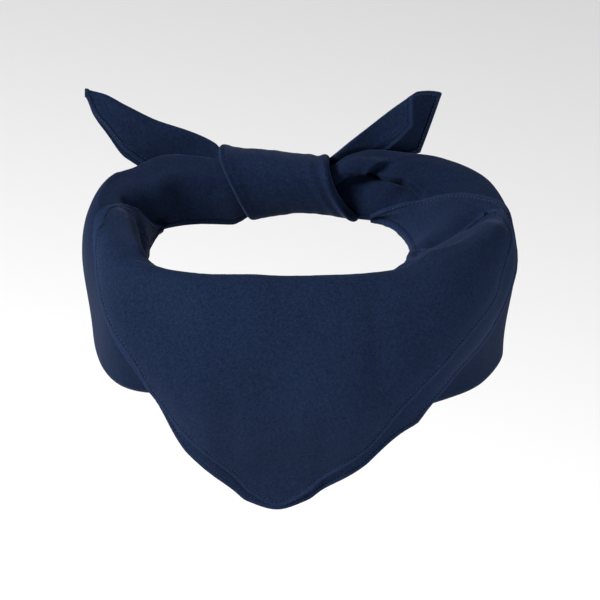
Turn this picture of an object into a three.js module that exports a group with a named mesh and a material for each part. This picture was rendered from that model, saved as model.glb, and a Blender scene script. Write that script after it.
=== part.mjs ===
// A square neckerchief, folded on its diagonal, worn with its point in front and tied behind.
// Millimetres, +Z up, the point hangs at -Y and the knot sits at +Y. The origin is the middle of the neck opening.
import * as THREE from "three";

// Cloth
const clothThickness = 1.2;
const hemWidth = 3.6;
const hemExtra = 0.3;
const layerGap = 0.7;
const ridgeSlack = 0.9;
const ridgeSlackWidth = 0.25;

// Neck opening, at the fold of the cloth
const openingWidth = 151;
const openingDepth = 114;
const openingShift = -12.5;
const openingSquareness = 3;

// Reach and height of the folded cloth round the opening
const leftReach = 36;
const rightReach = 58;
const ridgeRise = 20;
const foldDepth = 15;
const sideDrop = 84;
const bibDrop = 137;
const bibBelly = 23;
const crestRoundness = 2;
const creaseDepth = 2.4;
const creaseWidth = 6;
const bottomRadius = 4;
const bottomFit = 0.25;
const turnUpFit = 0.12;
const bottomTurnUp = 9;
const bottomShareLeft = 0.79;
const bottomShareRight = 0.87;
const bandEndShare = 0.6;
const bandTaper = 45;
const innerSwell = 7;

// Knot
const knotWidth = 56;
const knotHeight = 38;
const knotDepth = 29;
const knotCentreX = -6;
const knotCentreZ = 6;
const knotSlant = 17;
const knotWall = 1.8;
const knotClearance = 0.5;
const knotSquareness = 2.6;
const rollInKnot = 5;

// Free ends
const tailRootUp = 18.5;
const tailRise = 33;
const tailBack = 12;
const nearPuff = 0.3;
const tailPuff = 3;
const tailLeftLength = 90;
const tailLeftWidth = 34;
const tailRightLength = 71;
const tailRightWidth = 36;
const tailMouthPuff = 6;
const tailLayerGap = 2;
const tailSeat = 3.8;
const tailInKnot = 4;
const tailLeave = 0.08;
const tailFreed = 0.65;
const tailRightInKnot = 14;
const tailRightRootDown = 9.8;
const tailRightRootWidth = 13;
const tailRightMouthDown = 1.5;
const foldCurl = 0.2;
const puffPlace = 0.8;

// Facets
const turnStep = 6;
const acrossFacets = 16;
const bandFacets = 19;
const bandFrontLeft = -34;
const bandFrontRight = 34;
const bandKnotLeft = -167;
const bandKnotRight = 166;
const ridgePacking = 0.45;
const ridgePackingAt = 1.15;
const ridgePackingWidth = 0.3;
const wallPacking = 2;
const stationMargin = 0.3;
const knotFacets = 24;
const knotSteps = 8;
const tailFacets = 12;
const tailAcrossFacets = 14;

const layerPitch = clothThickness + hemExtra + layerGap;

// A row per turn round the neck, in degrees from the point in front: negative to the left.
// foldUp is the height of the inner fold, crest the top of the ridge, belly the widest place of the wall,
// tip its lower end. swell pushes the inner face towards the neck.
const formRows = [
  { turn: -167, foldUp: -0.74 * foldDepth, crestOut: 0.17 * knotDepth, crestUp: 0.8 * ridgeRise,
    bellyOut: 0.31 * knotDepth, bellyDrop: 0.13 * sideDrop, tipOut: 0.19 * knotDepth, tipDrop: 0.22 * sideDrop,
    swell: 1.25 * innerSwell },
  { turn: -156, foldUp: -1.1 * foldDepth, crestOut: 0.19 * knotDepth, crestUp: 0.8 * ridgeRise,
    bellyOut: 0.32 * knotDepth, bellyDrop: 0.13 * sideDrop, tipOut: 0.2 * knotDepth, tipDrop: 0.26 * sideDrop,
    swell: 1.15 * innerSwell },
  { turn: -146, foldUp: -1.04 * foldDepth, crestOut: 0.33 * leftReach, crestUp: 0.82 * ridgeRise,
    bellyOut: 0.48 * leftReach, bellyDrop: 0.17 * sideDrop, tipOut: 0.36 * leftReach, tipDrop: 0.36 * sideDrop,
    swell: 1 * innerSwell },
  { turn: -132, foldUp: -0.93 * foldDepth, crestOut: 0.63 * leftReach, crestUp: 0.84 * ridgeRise,
    bellyOut: 0.72 * leftReach, bellyDrop: 0.22 * sideDrop, tipOut: 0.52 * leftReach, tipDrop: 0.37 * sideDrop,
    swell: 1.1 * innerSwell },
  { turn: -124, foldUp: -1 * foldDepth, crestOut: 0.57 * leftReach, crestUp: 0.76 * ridgeRise,
    bellyOut: 0.84 * leftReach, bellyDrop: 0.27 * sideDrop, tipOut: 0.62 * leftReach, tipDrop: 0.58 * sideDrop,
    swell: 1.1 * innerSwell },
  { turn: -117, foldUp: -1.15 * foldDepth, crestOut: 0.7 * leftReach, crestUp: 0.72 * ridgeRise,
    bellyOut: 0.92 * leftReach, bellyDrop: 0.3 * sideDrop, tipOut: 0.7 * leftReach, tipDrop: 0.72 * sideDrop,
    swell: 1.1 * innerSwell },
  { turn: -106, foldUp: -1.15 * foldDepth, crestOut: 0.67 * leftReach, crestUp: 0.54 * ridgeRise,
    bellyOut: 0.91 * leftReach, bellyDrop: 0.31 * sideDrop, tipOut: 0.74 * leftReach, tipDrop: 0.83 * sideDrop,
    swell: 1.15 * innerSwell },
  { turn: -90, foldUp: -1.05 * foldDepth, crestOut: 0.56 * leftReach, crestUp: 0.26 * ridgeRise,
    bellyOut: 0.825 * leftReach, bellyDrop: 0.31 * sideDrop, tipOut: 0.7 * leftReach, tipDrop: 0.92 * sideDrop,
    swell: 1.2 * innerSwell },
  { turn: -74, foldUp: -0.8 * foldDepth, crestOut: 0.44 * leftReach, crestUp: 0.08 * ridgeRise,
    bellyOut: 0.66 * leftReach, bellyDrop: 0.36 * sideDrop, tipOut: 0.66 * leftReach, tipDrop: 0.91 * sideDrop,
    swell: 0.9 * innerSwell },
  { turn: -63, foldUp: -0.62 * foldDepth, crestOut: 0.28 * leftReach, crestUp: -0.12 * ridgeRise,
    bellyOut: 0.61 * leftReach, bellyDrop: 0.45 * sideDrop, tipOut: 0.59 * leftReach, tipDrop: 0.88 * sideDrop,
    swell: 0.4 * innerSwell },
  { turn: -52, foldUp: -0.6 * foldDepth, crestOut: 0.14 * leftReach, crestUp: -0.22 * ridgeRise,
    bellyOut: 0.5 * leftReach, bellyDrop: 0.52 * sideDrop, tipOut: 0.44 * leftReach, tipDrop: 0.86 * sideDrop,
    swell: 0 * innerSwell },
  { turn: -40, foldUp: -0.6 * foldDepth, crestOut: 0.12 * leftReach, crestUp: -0.2 * ridgeRise,
    bellyOut: 0.8 * bibBelly, bellyDrop: 0.42 * bibDrop, tipOut: 0.6 * bibBelly, tipDrop: 0.708 * bibDrop,
    swell: 0 },
  { turn: -21, foldUp: -0.62 * foldDepth, crestOut: 0.14 * bibBelly, crestUp: -0.2 * ridgeRise,
    bellyOut: 0.82 * bibBelly, bellyDrop: 0.46 * bibDrop, tipOut: 0.42 * bibBelly, tipDrop: 0.893 * bibDrop,
    swell: 0 },
  { turn: -16, foldUp: -0.63 * foldDepth, crestOut: 0.14 * bibBelly, crestUp: -0.2 * ridgeRise,
    bellyOut: 0.83 * bibBelly, bellyDrop: 0.47 * bibDrop, tipOut: 0.36 * bibBelly, tipDrop: 0.933 * bibDrop,
    swell: 0 },
  { turn: 0, foldUp: -0.65 * foldDepth, crestOut: 0.14 * bibBelly, crestUp: -0.2 * ridgeRise,
    bellyOut: 0.84 * bibBelly, bellyDrop: 0.48 * bibDrop, tipOut: 0.3 * bibBelly, tipDrop: 0.975 * bibDrop,
    swell: 0 },
  { turn: 16, foldUp: -0.63 * foldDepth, crestOut: 0.15 * bibBelly, crestUp: -0.2 * ridgeRise,
    bellyOut: 0.84 * bibBelly, bellyDrop: 0.47 * bibDrop, tipOut: 0.36 * bibBelly, tipDrop: 0.927 * bibDrop,
    swell: 0 },
  { turn: 23, foldUp: -0.62 * foldDepth, crestOut: 0.16 * bibBelly, crestUp: -0.2 * ridgeRise,
    bellyOut: 0.84 * bibBelly, bellyDrop: 0.46 * bibDrop, tipOut: 0.42 * bibBelly, tipDrop: 0.876 * bibDrop,
    swell: 0 },
  { turn: 40, foldUp: -0.58 * foldDepth, crestOut: 0.2 * bibBelly, crestUp: -0.24 * ridgeRise,
    bellyOut: 0.86 * bibBelly, bellyDrop: 0.44 * bibDrop, tipOut: 0.6 * bibBelly, tipDrop: 0.75 * bibDrop,
    swell: 0 },
  { turn: 52, foldUp: -0.55 * foldDepth, crestOut: 0.12 * rightReach, crestUp: -0.26 * ridgeRise,
    bellyOut: 0.47 * rightReach, bellyDrop: 0.5 * sideDrop, tipOut: 0.4 * rightReach, tipDrop: 0.965 * sideDrop,
    swell: 0 * innerSwell },
  { turn: 63, foldUp: -0.5 * foldDepth, crestOut: 0.28 * rightReach, crestUp: -0.12 * ridgeRise,
    bellyOut: 0.645 * rightReach, bellyDrop: 0.44 * sideDrop, tipOut: 0.52 * rightReach, tipDrop: 0.88 * sideDrop,
    swell: 0 * innerSwell },
  { turn: 74, foldUp: -0.5 * foldDepth, crestOut: 0.53 * rightReach, crestUp: 0 * ridgeRise,
    bellyOut: 0.775 * rightReach, bellyDrop: 0.36 * sideDrop, tipOut: 0.69 * rightReach, tipDrop: 0.9 * sideDrop,
    swell: 0 * innerSwell },
  { turn: 90, foldUp: -0.62 * foldDepth, crestOut: 0.77 * rightReach, crestUp: 0.18 * ridgeRise,
    bellyOut: 0.96 * rightReach, bellyDrop: 0.26 * sideDrop, tipOut: 0.84 * rightReach, tipDrop: 0.89 * sideDrop,
    swell: 0.2 * innerSwell },
  { turn: 104, foldUp: -0.95 * foldDepth, crestOut: 0.85 * rightReach, crestUp: 0.3 * ridgeRise,
    bellyOut: 0.96 * rightReach, bellyDrop: 0.25 * sideDrop, tipOut: 0.81 * rightReach, tipDrop: 0.87 * sideDrop,
    swell: 0.3 * innerSwell },
  { turn: 113, foldUp: -1.05 * foldDepth, crestOut: 0.84 * rightReach, crestUp: 0.5 * ridgeRise,
    bellyOut: 0.935 * rightReach, bellyDrop: 0.26 * sideDrop, tipOut: 0.74 * rightReach, tipDrop: 0.79 * sideDrop,
    swell: 0.4 * innerSwell },
  { turn: 124, foldUp: -1.02 * foldDepth, crestOut: 0.65 * rightReach, crestUp: 0.78 * ridgeRise,
    bellyOut: 0.75 * rightReach, bellyDrop: 0.25 * sideDrop, tipOut: 0.6 * rightReach, tipDrop: 0.62 * sideDrop,
    swell: 0.6 * innerSwell },
  { turn: 130, foldUp: -0.96 * foldDepth, crestOut: 0.46 * rightReach, crestUp: 0.92 * ridgeRise,
    bellyOut: 0.55 * rightReach, bellyDrop: 0.21 * sideDrop, tipOut: 0.42 * rightReach, tipDrop: 0.46 * sideDrop,
    swell: 0.8 * innerSwell },
  { turn: 139, foldUp: -0.92 * foldDepth, crestOut: 0.34 * rightReach, crestUp: 1 * ridgeRise,
    bellyOut: 0.42 * rightReach, bellyDrop: 0.18 * sideDrop, tipOut: 0.3 * rightReach, tipDrop: 0.4 * sideDrop,
    swell: 0.7 * innerSwell },
  { turn: 145, foldUp: -0.6 * foldDepth, crestOut: 0.22 * rightReach, crestUp: 0.94 * ridgeRise,
    bellyOut: 0.3 * rightReach, bellyDrop: 0.15 * sideDrop, tipOut: 0.2 * rightReach, tipDrop: 0.28 * sideDrop,
    swell: 0.5 * innerSwell },
  { turn: 152, foldUp: -0.42 * foldDepth, crestOut: 0.24 * knotDepth, crestUp: 0.68 * ridgeRise,
    bellyOut: 0.36 * knotDepth, bellyDrop: 0.1 * sideDrop, tipOut: 0.24 * knotDepth, tipDrop: 0.207 * sideDrop,
    swell: 0.35 * innerSwell },
  { turn: 158, foldUp: -0.32 * foldDepth, crestOut: 0.2 * knotDepth, crestUp: 0.5 * ridgeRise,
    bellyOut: 0.31 * knotDepth, bellyDrop: 0.09 * sideDrop, tipOut: 0.2 * knotDepth, tipDrop: 0.168 * sideDrop,
    swell: 0.25 * innerSwell },
  { turn: 166, foldUp: -0.22 * foldDepth, crestOut: 0.18 * knotDepth, crestUp: 0.46 * ridgeRise,
    bellyOut: 0.3 * knotDepth, bellyDrop: 0.09 * sideDrop, tipOut: 0.18 * knotDepth, tipDrop: 0.15 * sideDrop,
    swell: 0.2 * innerSwell },
];

// How much of the section each layer covers at each turn. from and to are places across the section:
// 0 at the inner fold, 1 on the ridge, 2 at the lower end.
const outerRows = [
  { turn: -101, from: 0, to: 0.86 },
  { turn: -99, from: 0, to: 0.885 },
  { turn: -97, from: 0, to: 0.91 },
  { turn: -91, from: 0, to: 1.04 },
  { turn: -84.5, from: 0, to: 1.13 },
  { turn: -77.5, from: 0, to: 1.25 },
  { turn: -70.5, from: 0, to: 1.46 },
  { turn: -64.5, from: 0, to: 1.63 },
  { turn: -56, from: 0, to: 1.81 },
  { turn: -50, from: 0, to: 1.93 },
  { turn: -40, from: 0, to: 1.935 },
  { turn: -28, from: 0, to: 1.95 },
  { turn: 0, from: 0, to: 1.988 },
  { turn: 30, from: 0, to: 1.96 },
  { turn: 40, from: 0, to: 1.945 },
  { turn: 45.5, from: 0, to: 1.93 },
  { turn: 50, from: 0, to: 1.89 },
  { turn: 57.5, from: 0, to: 1.79 },
  { turn: 65, from: 0, to: 1.66 },
  { turn: 73.5, from: 0, to: 1.56 },
  { turn: 79, from: 0, to: 1.42 },
  { turn: 82, from: 0.04, to: 1.35 },
  { turn: 86, from: 0.26, to: 1.27 },
  { turn: 91, from: 0.49, to: 1.18 },
  { turn: 96.5, from: 0.69, to: 1.06 },
  { turn: 98, from: 0.75, to: 0.99 },
  { turn: 99.5, from: 0.83, to: 0.89 },
];
const underRows = [
  { turn: -125, from: 0, to: 0.03 },
  { turn: -118, from: 0, to: 0.14 },
  { turn: -113, from: 0, to: 0.29 },
  { turn: -109, from: 0, to: 0.5 },
  { turn: -105, from: 0, to: 0.69 },
  { turn: -100, from: 0, to: 0.93 },
  { turn: -93, from: 0, to: 1.105 },
  { turn: -83, from: 0, to: 1.2 },
  { turn: -74, from: 0, to: 1.48 },
  { turn: -64, from: 0, to: 1.7 },
  { turn: -57, from: 0, to: 1.84 },
  { turn: -52, from: 0, to: 1.94 },
  { turn: -44, from: 0, to: 2 },
  { turn: 0, from: 0, to: 2 },
  { turn: 53.5, from: 0, to: 2 },
  { turn: 56.5, from: 0, to: 1.97 },
  { turn: 60.5, from: 0, to: 1.93 },
  { turn: 65, from: 0, to: 1.85 },
  { turn: 71, from: 0, to: 1.79 },
  { turn: 78.5, from: 0, to: 1.71 },
  { turn: 84, from: 0, to: 1.62 },
  { turn: 90, from: 0, to: 1.48 },
  { turn: 96, from: 0, to: 1.3 },
  { turn: 102, from: 0, to: 1.12 },
  { turn: 107, from: 0, to: 0.9 },
  { turn: 111, from: 0, to: 0.7 },
  { turn: 115, from: 0, to: 0.5 },
  { turn: 119, from: 0, to: 0.34 },
  { turn: 124, from: 0, to: 0.19 },
  { turn: 129.5, from: 0, to: 0.1 },
  { turn: 134, from: 0, to: 0.04 },
];

// Creases and hollows pressed into the cloth, each from one place to another: turn and across as above.
const creaseRows = [
  { turn: 151, across: 0.2, toTurn: 139, toAcross: 0.44, deep: 0.8, wide: 0.9 },
  { turn: 139, across: 0.44, toTurn: 132, toAcross: 0.66, deep: 1, wide: 1 },
  { turn: 137, across: 0.44, toTurn: 118, toAcross: 0.35, deep: 0.8, wide: 1 },
  { turn: -110, across: 0.55, toTurn: -124, toAcross: 0.05, deep: 1, wide: 1.2 },
  { turn: 94, across: 0.76, toTurn: 82, toAcross: 0.25, deep: 1.2, wide: 1.7 },
  { turn: -80, across: 0.1, toTurn: -92, toAcross: 0.35, deep: 0.6, wide: 1.2 },
];

// Smooth reading of one column of a table, without overshoot between its rows.
function read(rows, place, key, at) {
  const last = rows.length - 1;
  if (at <= rows[0][place]) return rows[0][key];
  if (at >= rows[last][place]) return rows[last][key];
  let i = 0;
  while (rows[i + 1][place] < at) i += 1;
  const slope = (j) => {
    if (j <= 0 || j >= last) return 0;
    const before = (rows[j][key] - rows[j - 1][key]) / (rows[j][place] - rows[j - 1][place]);
    const after = (rows[j + 1][key] - rows[j][key]) / (rows[j + 1][place] - rows[j][place]);
    return before * after <= 0 ? 0 : (2 * before * after) / (before + after);
  };
  const step = rows[i + 1][place] - rows[i][place];
  const t = (at - rows[i][place]) / step;
  const rise = t * t * (3 - 2 * t);
  const value = rows[i][key] * (1 - rise) + rows[i + 1][key] * rise;
  return value + step * t * (1 - t) * (slope(i) * (1 - t) - slope(i + 1) * t);
}

// Where the fold of the cloth lies round the neck at a turn, and the way out from there.
function openingAt(turn) {
  const angle = THREE.MathUtils.degToRad(turn);
  const side = (2 * Math.sin(angle)) / openingWidth;
  const front = (-2 * Math.cos(angle)) / openingDepth;
  const far = (Math.abs(side) ** openingSquareness + Math.abs(front) ** openingSquareness) ** (-1 / openingSquareness);
  const place = new THREE.Vector2(openingShift + far * Math.sin(angle), -far * Math.cos(angle));
  const steep = (value, size) => (Math.sign(value) * Math.abs(value * far) ** (openingSquareness - 1)) / size;
  const out = new THREE.Vector2(steep(side, openingWidth), steep(front, openingDepth));
  return { place, out: out.normalize() };
}

// How deep the creases are at a place of the cloth.
function creaseAt(turn, across) {
  let deep = 0;
  const degree = (Math.PI * openingWidth) / 360;
  const perAcross = leftReach;
  for (const row of creaseRows) {
    const start = new THREE.Vector2(row.turn * degree, row.across * perAcross);
    const line = new THREE.Vector2(row.toTurn * degree, row.toAcross * perAcross).sub(start);
    const place = new THREE.Vector2(turn * degree, across * perAcross).sub(start);
    const share = Math.min(1, Math.max(0, place.dot(line) / line.lengthSq()));
    const away = place.distanceTo(line.multiplyScalar(share)) / (row.wide * creaseWidth);
    deep += creaseDepth * row.deep * Math.exp(-away * away);
  }
  return deep;
}

// A point of the worn cloth: across is 0 at the inner fold, 1 on the ridge, 2 at the lower end of the wall,
// and above 2 it turns under. wallShare is how much of the wall's drop is used.
function formPoint(turn, across, wallShare = 1) {
  const size = (key) => read(formRows, "turn", key, turn);
  const { place, out } = openingAt(turn);
  const crestOut = size("crestOut");
  const crestUp = size("crestUp");
  let reach;
  let up;
  if (across <= 1) {
    const foldUp = size("foldUp");
    const swell = size("swell");
    const rise = crestUp - foldUp;
    const run = new THREE.Vector2(
      crestOut - swell * Math.PI * Math.cos(Math.PI * across),
      rise * crestRoundness * (1 - across) ** (crestRoundness - 1),
    ).normalize();
    const deep = creaseAt(turn, across);
    reach = crestOut * across - swell * Math.sin(Math.PI * across) + deep * run.y;
    up = foldUp + rise * (1 - (1 - across) ** crestRoundness) - deep * run.x;
  } else {
    const down = Math.min(across - 1, 1) * wallShare;
    const bellyOut = size("bellyOut");
    const belly = (size("bellyDrop") / size("tipDrop")) ** (1 / crestRoundness);
    const below = Math.max(0, (down - belly) / (1 - belly));
    reach = crestOut + (bellyOut - crestOut) * Math.sin((Math.min(down / belly, 1) * Math.PI) / 2);
    reach += (size("tipOut") - bellyOut) * below * below * (3 - 2 * below);
    up = crestUp - size("tipDrop") * down ** crestRoundness - creaseAt(turn, 1) * Math.max(0, 1 - down / belly);
    const under = across - 2;
    if (under > 0) {
      const bend = Math.min(under, 0.5) * 2 * Math.PI;
      const radius = Math.min(bottomRadius, bottomFit * size("tipOut"));
      reach -= radius * (1 - Math.cos(bend));
      const turnUp = Math.min(bottomTurnUp, turnUpFit * size("tipDrop"));
      up += -radius * Math.sin(bend) + turnUp * Math.max(0, under - 0.5) * 2;
    }
  }
  return new THREE.Vector3(place.x + out.x * reach, place.y + out.y * reach, up);
}

// Places across the section from one place to another, closer together where the cloth rolls over the ridge.
function spread(from, to, share) {
  const packed = (across) => {
    const ridge = ridgePacking * Math.tanh((across - ridgePackingAt) / ridgePackingWidth);
    return across + ridge + wallPacking * Math.max(0, across - 1) ** 2;
  };
  const wanted = packed(from) + share * (packed(to) - packed(from));
  let low = from;
  let high = to;
  for (let i = 0; i < 30; i += 1) {
    const middle = (low + high) / 2;
    if (packed(middle) < wanted) low = middle;
    else high = middle;
  }
  return (low + high) / 2;
}

// The turn at a share of the way, with the stations between the ends on whole steps, alike in every layer.
function stationTurn(first, last, share, rows) {
  const start = Math.ceil(first / turnStep + stationMargin) * turnStep;
  const place = share * rows;
  if (place <= 1) return first + (start - first) * place;
  if (place >= rows - 1) return last - (last - start - (rows - 2) * turnStep) * (rows - place);
  return start + (place - 1) * turnStep;
}

function stationCount(first, last) {
  const start = Math.ceil(first / turnStep + stationMargin);
  const end = Math.floor(last / turnStep - stationMargin);
  return end - start + 2;
}

// A closed wall of cloth along a surface. point(s, c) gives its middle, with s and c from 0 to 1.
// lift(s, c) moves it off that surface, and thick(s, c) is its thickness.
function clothWall({ point, rows, columns, lift = () => 0, thick = () => clothThickness }) {
  const vertices = [];
  const step = 1e-3;
  const inside = (value) => Math.min(1, Math.max(0, value));
  const normalAt = (s, c) => {
    const alongS = point(inside(s + step), c).sub(point(inside(s - step), c));
    const alongC = point(s, inside(c + step)).sub(point(s, inside(c - step)));
    return alongC.cross(alongS).normalize();
  };
  for (const face of [1, -1]) {
    for (let i = 0; i <= rows; i += 1) {
      for (let j = 0; j <= columns; j += 1) {
        const s = i / rows;
        const c = j / columns;
        const out = lift(s, c) + (face > 0 ? thick(s, c) - clothThickness / 2 : -clothThickness / 2);
        vertices.push(point(s, c).addScaledVector(normalAt(s, c), out));
      }
    }
  }
  const width = columns + 1;
  const below = (rows + 1) * width;
  const triangles = [];
  const quad = (a, b, c, d) => triangles.push(a, b, c, a, c, d);
  for (let i = 0; i < rows; i += 1) {
    for (let j = 0; j < columns; j += 1) {
      const a = i * width + j;
      quad(a, a + 1, a + width + 1, a + width);
      quad(below + a, below + a + width, below + a + width + 1, below + a + 1);
    }
  }
  for (let i = 0; i < rows; i += 1) {
    const near = i * width;
    const far = near + columns;
    quad(near, near + width, below + near + width, below + near);
    quad(far, below + far, below + far + width, far + width);
  }
  for (let j = 0; j < columns; j += 1) {
    const end = rows * width + j;
    quad(j, below + j, below + j + 1, j + 1);
    quad(end, end + 1, below + end + 1, below + end);
  }
  return solidFrom(vertices, triangles);
}

function solidFrom(vertices, triangles) {
  const geometry = new THREE.BufferGeometry();
  geometry.setAttribute("position", new THREE.Float32BufferAttribute(vertices.flatMap((v) => v.toArray()), 3));
  geometry.setIndex(triangles);
  geometry.computeVertexNormals();
  return geometry;
}

function navyCloth() {
  return new THREE.MeshStandardMaterial({ color: 0x1b2a47, roughness: 0.9, metalness: 0 });
}

function navyClothInShade() {
  return new THREE.MeshStandardMaterial({ color: 0x172238, roughness: 0.92, metalness: 0 });
}

// One layer of the triangle, lying a number of layers above the band.
function bibLayer(rows, layer) {
  const first = rows[0].turn;
  const last = rows[rows.length - 1].turn;
  const stations = stationCount(first, last);
  const turnAt = (s) => stationTurn(first, last, s, stations);
  const acrossAt = (s, c) => {
    const turn = turnAt(s);
    return spread(read(rows, "turn", "from", turn), read(rows, "turn", "to", turn), c);
  };
  const point = (s, c) => formPoint(turnAt(s), acrossAt(s, c));
  const hem = (s, c) => {
    const toHem = point(s, c).distanceTo(point(s, 1));
    return hemExtra * Math.max(0, Math.min(1, 2 - toHem / hemWidth));
  };
  return clothWall({
    point,
    rows: stations,
    columns: acrossFacets,
    lift: (s, c) => layer * (layerPitch + ridgeSlack * Math.exp(-(((acrossAt(s, c) - 1) / ridgeSlackWidth) ** 2))),
    thick: (s, c) => clothThickness + hem(s, c),
  });
}

// The folded cloth of one side, from under the triangle to inside the knot.
function band(fromTurn, toTurn) {
  const stations = stationCount(fromTurn, toTurn);
  const frontEnd = Math.abs(fromTurn) < Math.abs(toTurn) ? fromTurn : toTurn;
  const point = (s, c) => {
    const turn = stationTurn(fromTurn, toTurn, s, stations);
    const taper = Math.min(1, Math.abs(turn - frontEnd) / bandTaper);
    const bottomShare = toTurn < 0 ? bottomShareLeft : bottomShareRight;
    const drop = sideDrop * (bandEndShare + (bottomShare - bandEndShare) * taper * (2 - taper));
    const wallShare = Math.min(1, (drop / read(formRows, "turn", "tipDrop", turn)) ** (1 / crestRoundness));
    return formPoint(turn, spread(0, 3, c), wallShare);
  };
  return clothWall({ point, rows: stations, columns: bandFacets });
}

// The turn of cloth round the knot: a flattened sleeve, slanted to the right as it goes down.
function knotWrap() {
  const centreY = openingDepth / 2 + rollInKnot;
  const ends = [
    { along: 0, grow: 1.05, top: 1, bottom: -1.12 },
    { along: 0.2, grow: 1, top: 0.94, bottom: -1.07 },
    { along: 0.5, grow: 0.97, top: 0.84, bottom: -0.94 },
    { along: 0.8, grow: 1, top: 0.76, bottom: -1.03 },
    { along: 1, grow: 1.05, top: 0.76, bottom: -1.17 },
  ];
  const ring = (s, turn, wall) => {
    const power = 2 / knotSquareness;
    const y = Math.sign(Math.cos(turn)) * Math.abs(Math.cos(turn)) ** power;
    const z = Math.sign(Math.sin(turn)) * Math.abs(Math.sin(turn)) ** power;
    const top = read(ends, "along", "top", s) * (knotHeight / 2) - wall;
    const bottom = read(ends, "along", "bottom", s) * (knotHeight / 2) + wall;
    const halfDepth = (knotDepth / 2) * read(ends, "along", "grow", s) - wall;
    const x = knotCentreX + knotWidth * (s - 0.5) - (knotSlant / 2) * z;
    return new THREE.Vector3(x, centreY + halfDepth * y, knotCentreZ + (top + bottom) / 2 + ((top - bottom) / 2) * z);
  };
  const vertices = [];
  for (const wall of [0, knotWall]) {
    for (let i = 0; i <= knotSteps; i += 1) {
      for (let j = 0; j < knotFacets; j += 1) vertices.push(ring(i / knotSteps, (j / knotFacets) * 2 * Math.PI, wall));
    }
  }
  const inner = (knotSteps + 1) * knotFacets;
  const triangles = [];
  const quad = (a, b, c, d) => triangles.push(a, b, c, a, c, d);
  for (let j = 0; j < knotFacets; j += 1) {
    const k = (j + 1) % knotFacets;
    for (let i = 0; i < knotSteps; i += 1) {
      const row = i * knotFacets;
      const next = row + knotFacets;
      quad(row + j, row + k, next + k, next + j);
      quad(inner + row + j, inner + next + j, inner + next + k, inner + row + k);
    }
    const end = knotSteps * knotFacets;
    quad(j, inner + j, inner + k, k);
    quad(end + j, end + k, inner + end + k, inner + end + j);
  }
  return solidFrom(vertices, triangles);
}

// How far a folded leaf opens on each side of its middle: round at the fold, flat further down.
function leafOpening(fromFold, puff) {
  const roundness = Math.min(1, fromFold / foldCurl);
  return (tailLayerGap / 2) * Math.sqrt(1 - (1 - roundness) ** 2) + puff * Math.sin(Math.PI * fromFold * puffPlace);
}

// The near layer stays flat against the folded cloth in front of it, and the far layer puffs out.
function leafDepth(across, puff) {
  const fromFold = Math.abs(1 - 2 * across);
  return across > 0.5 ? leafOpening(fromFold, puff) : -leafOpening(fromFold, nearPuff * puff);
}

// The left free end: a leaf folded along its upper edge, its near layer the narrower one.
const tailLeftRows = [
  { along: 0, top: -0.2, far: 0.42, near: 0.36, back: 0, puff: 0 },
  { along: 0.1, top: -0.14, far: 0.46, near: 0.4, back: 0, puff: 0 },
  { along: 0.2, top: 0.1, far: 0.72, near: 0.66, back: 0.5, puff: 0.3 },
  { along: 0.35, top: 0.27, far: 0.9, near: 0.82, back: 0.8, puff: 0.8 },
  { along: 0.55, top: 0.43, far: 1, near: 0.86, back: 0.92, puff: 1 },
  { along: 0.75, top: 0.72, far: 0.95, near: 0.78, back: 0.9, puff: 0.8 },
  { along: 0.88, top: 0.92, far: 0.66, near: 0.54, back: 0.95, puff: 0.4 },
  { along: 0.95, top: 0.97, far: 0.42, near: 0.36, back: 0.98, puff: 0.2 },
  { along: 1, top: 1, far: 0.13, near: 0.11, back: 1, puff: 0 },
];

function tailLeft() {
  const rootX = knotCentreX - knotWidth / 2 + knotClearance + tailInKnot;
  const rootY = openingDepth / 2 + rollInKnot + knotDepth / 2 - knotWall - tailSeat;
  const point = (s, c) => {
    const size = (key) => read(tailLeftRows, "along", key, s);
    const far = c > 0.5;
    const fromFold = Math.abs(1 - 2 * c) ** 1.5;
    const width = size(far ? "far" : "near") * tailLeftWidth;
    const y = rootY + tailBack * size("back") + leafDepth(c, size("puff") * tailPuff);
    return new THREE.Vector3(rootX - tailLeftLength * s, y, tailRootUp + tailRise * size("top") - width * fromFold);
  };
  return clothWall({ point, rows: tailFacets, columns: tailAcrossFacets });
}

// The right free end: a leaf folded along its upper edge that widens to an open mouth. across runs from the
// lower edge of the near layer, 0, over the fold, 0.5, to the lower edge of the far layer, 1.
const tailRightMouth = [
  { across: 0, right: 0.6, up: -0.9 },
  { across: 0.2, right: 0.74, up: -0.63 },
  { across: 0.3, right: 0.78, up: -0.5 },
  { across: 0.44, right: 0.78, up: -0.08 },
  { across: 0.5, right: 0.81, up: 0 },
  { across: 0.6, right: 0.9, up: -0.02 },
  { across: 0.7, right: 1.005, up: -0.09 },
  { across: 0.76, right: 0.985, up: -0.22 },
  { across: 1, right: 0.84, up: -1.06 },
];

function tailRight() {
  const rootX = knotCentreX + knotWidth / 2 - knotClearance - tailRightInKnot;
  const rootY = openingDepth / 2 + rollInKnot + knotDepth / 2 - knotWall - tailSeat;
  const rootUp = tailRootUp - tailRightRootDown;
  const mouthUp = tailRootUp + tailRise - tailRightMouthDown;
  const point = (s, c) => {
    const fromFold = Math.abs(1 - 2 * c);
    const right = read(tailRightMouth, "across", "right", c) * tailRightLength;
    const down = read(tailRightMouth, "across", "up", c) * tailRightWidth;
    const out = (right * s) / tailRightLength;
    const y = rootY + tailBack * THREE.MathUtils.smoothstep(out, tailLeave, tailFreed) + leafDepth(c, tailMouthPuff * s * s);
    const up = (rootUp - tailRightRootWidth * fromFold) * (1 - s) + (mouthUp + down) * s;
    return new THREE.Vector3(rootX + right * s, y, up);
  };
  return clothWall({ point, rows: tailFacets, columns: tailAcrossFacets + 4 });
}

function piece(name, geometry, material) {
  const mesh = new THREE.Mesh(geometry, material);
  mesh.name = name;
  return mesh;
}

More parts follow.
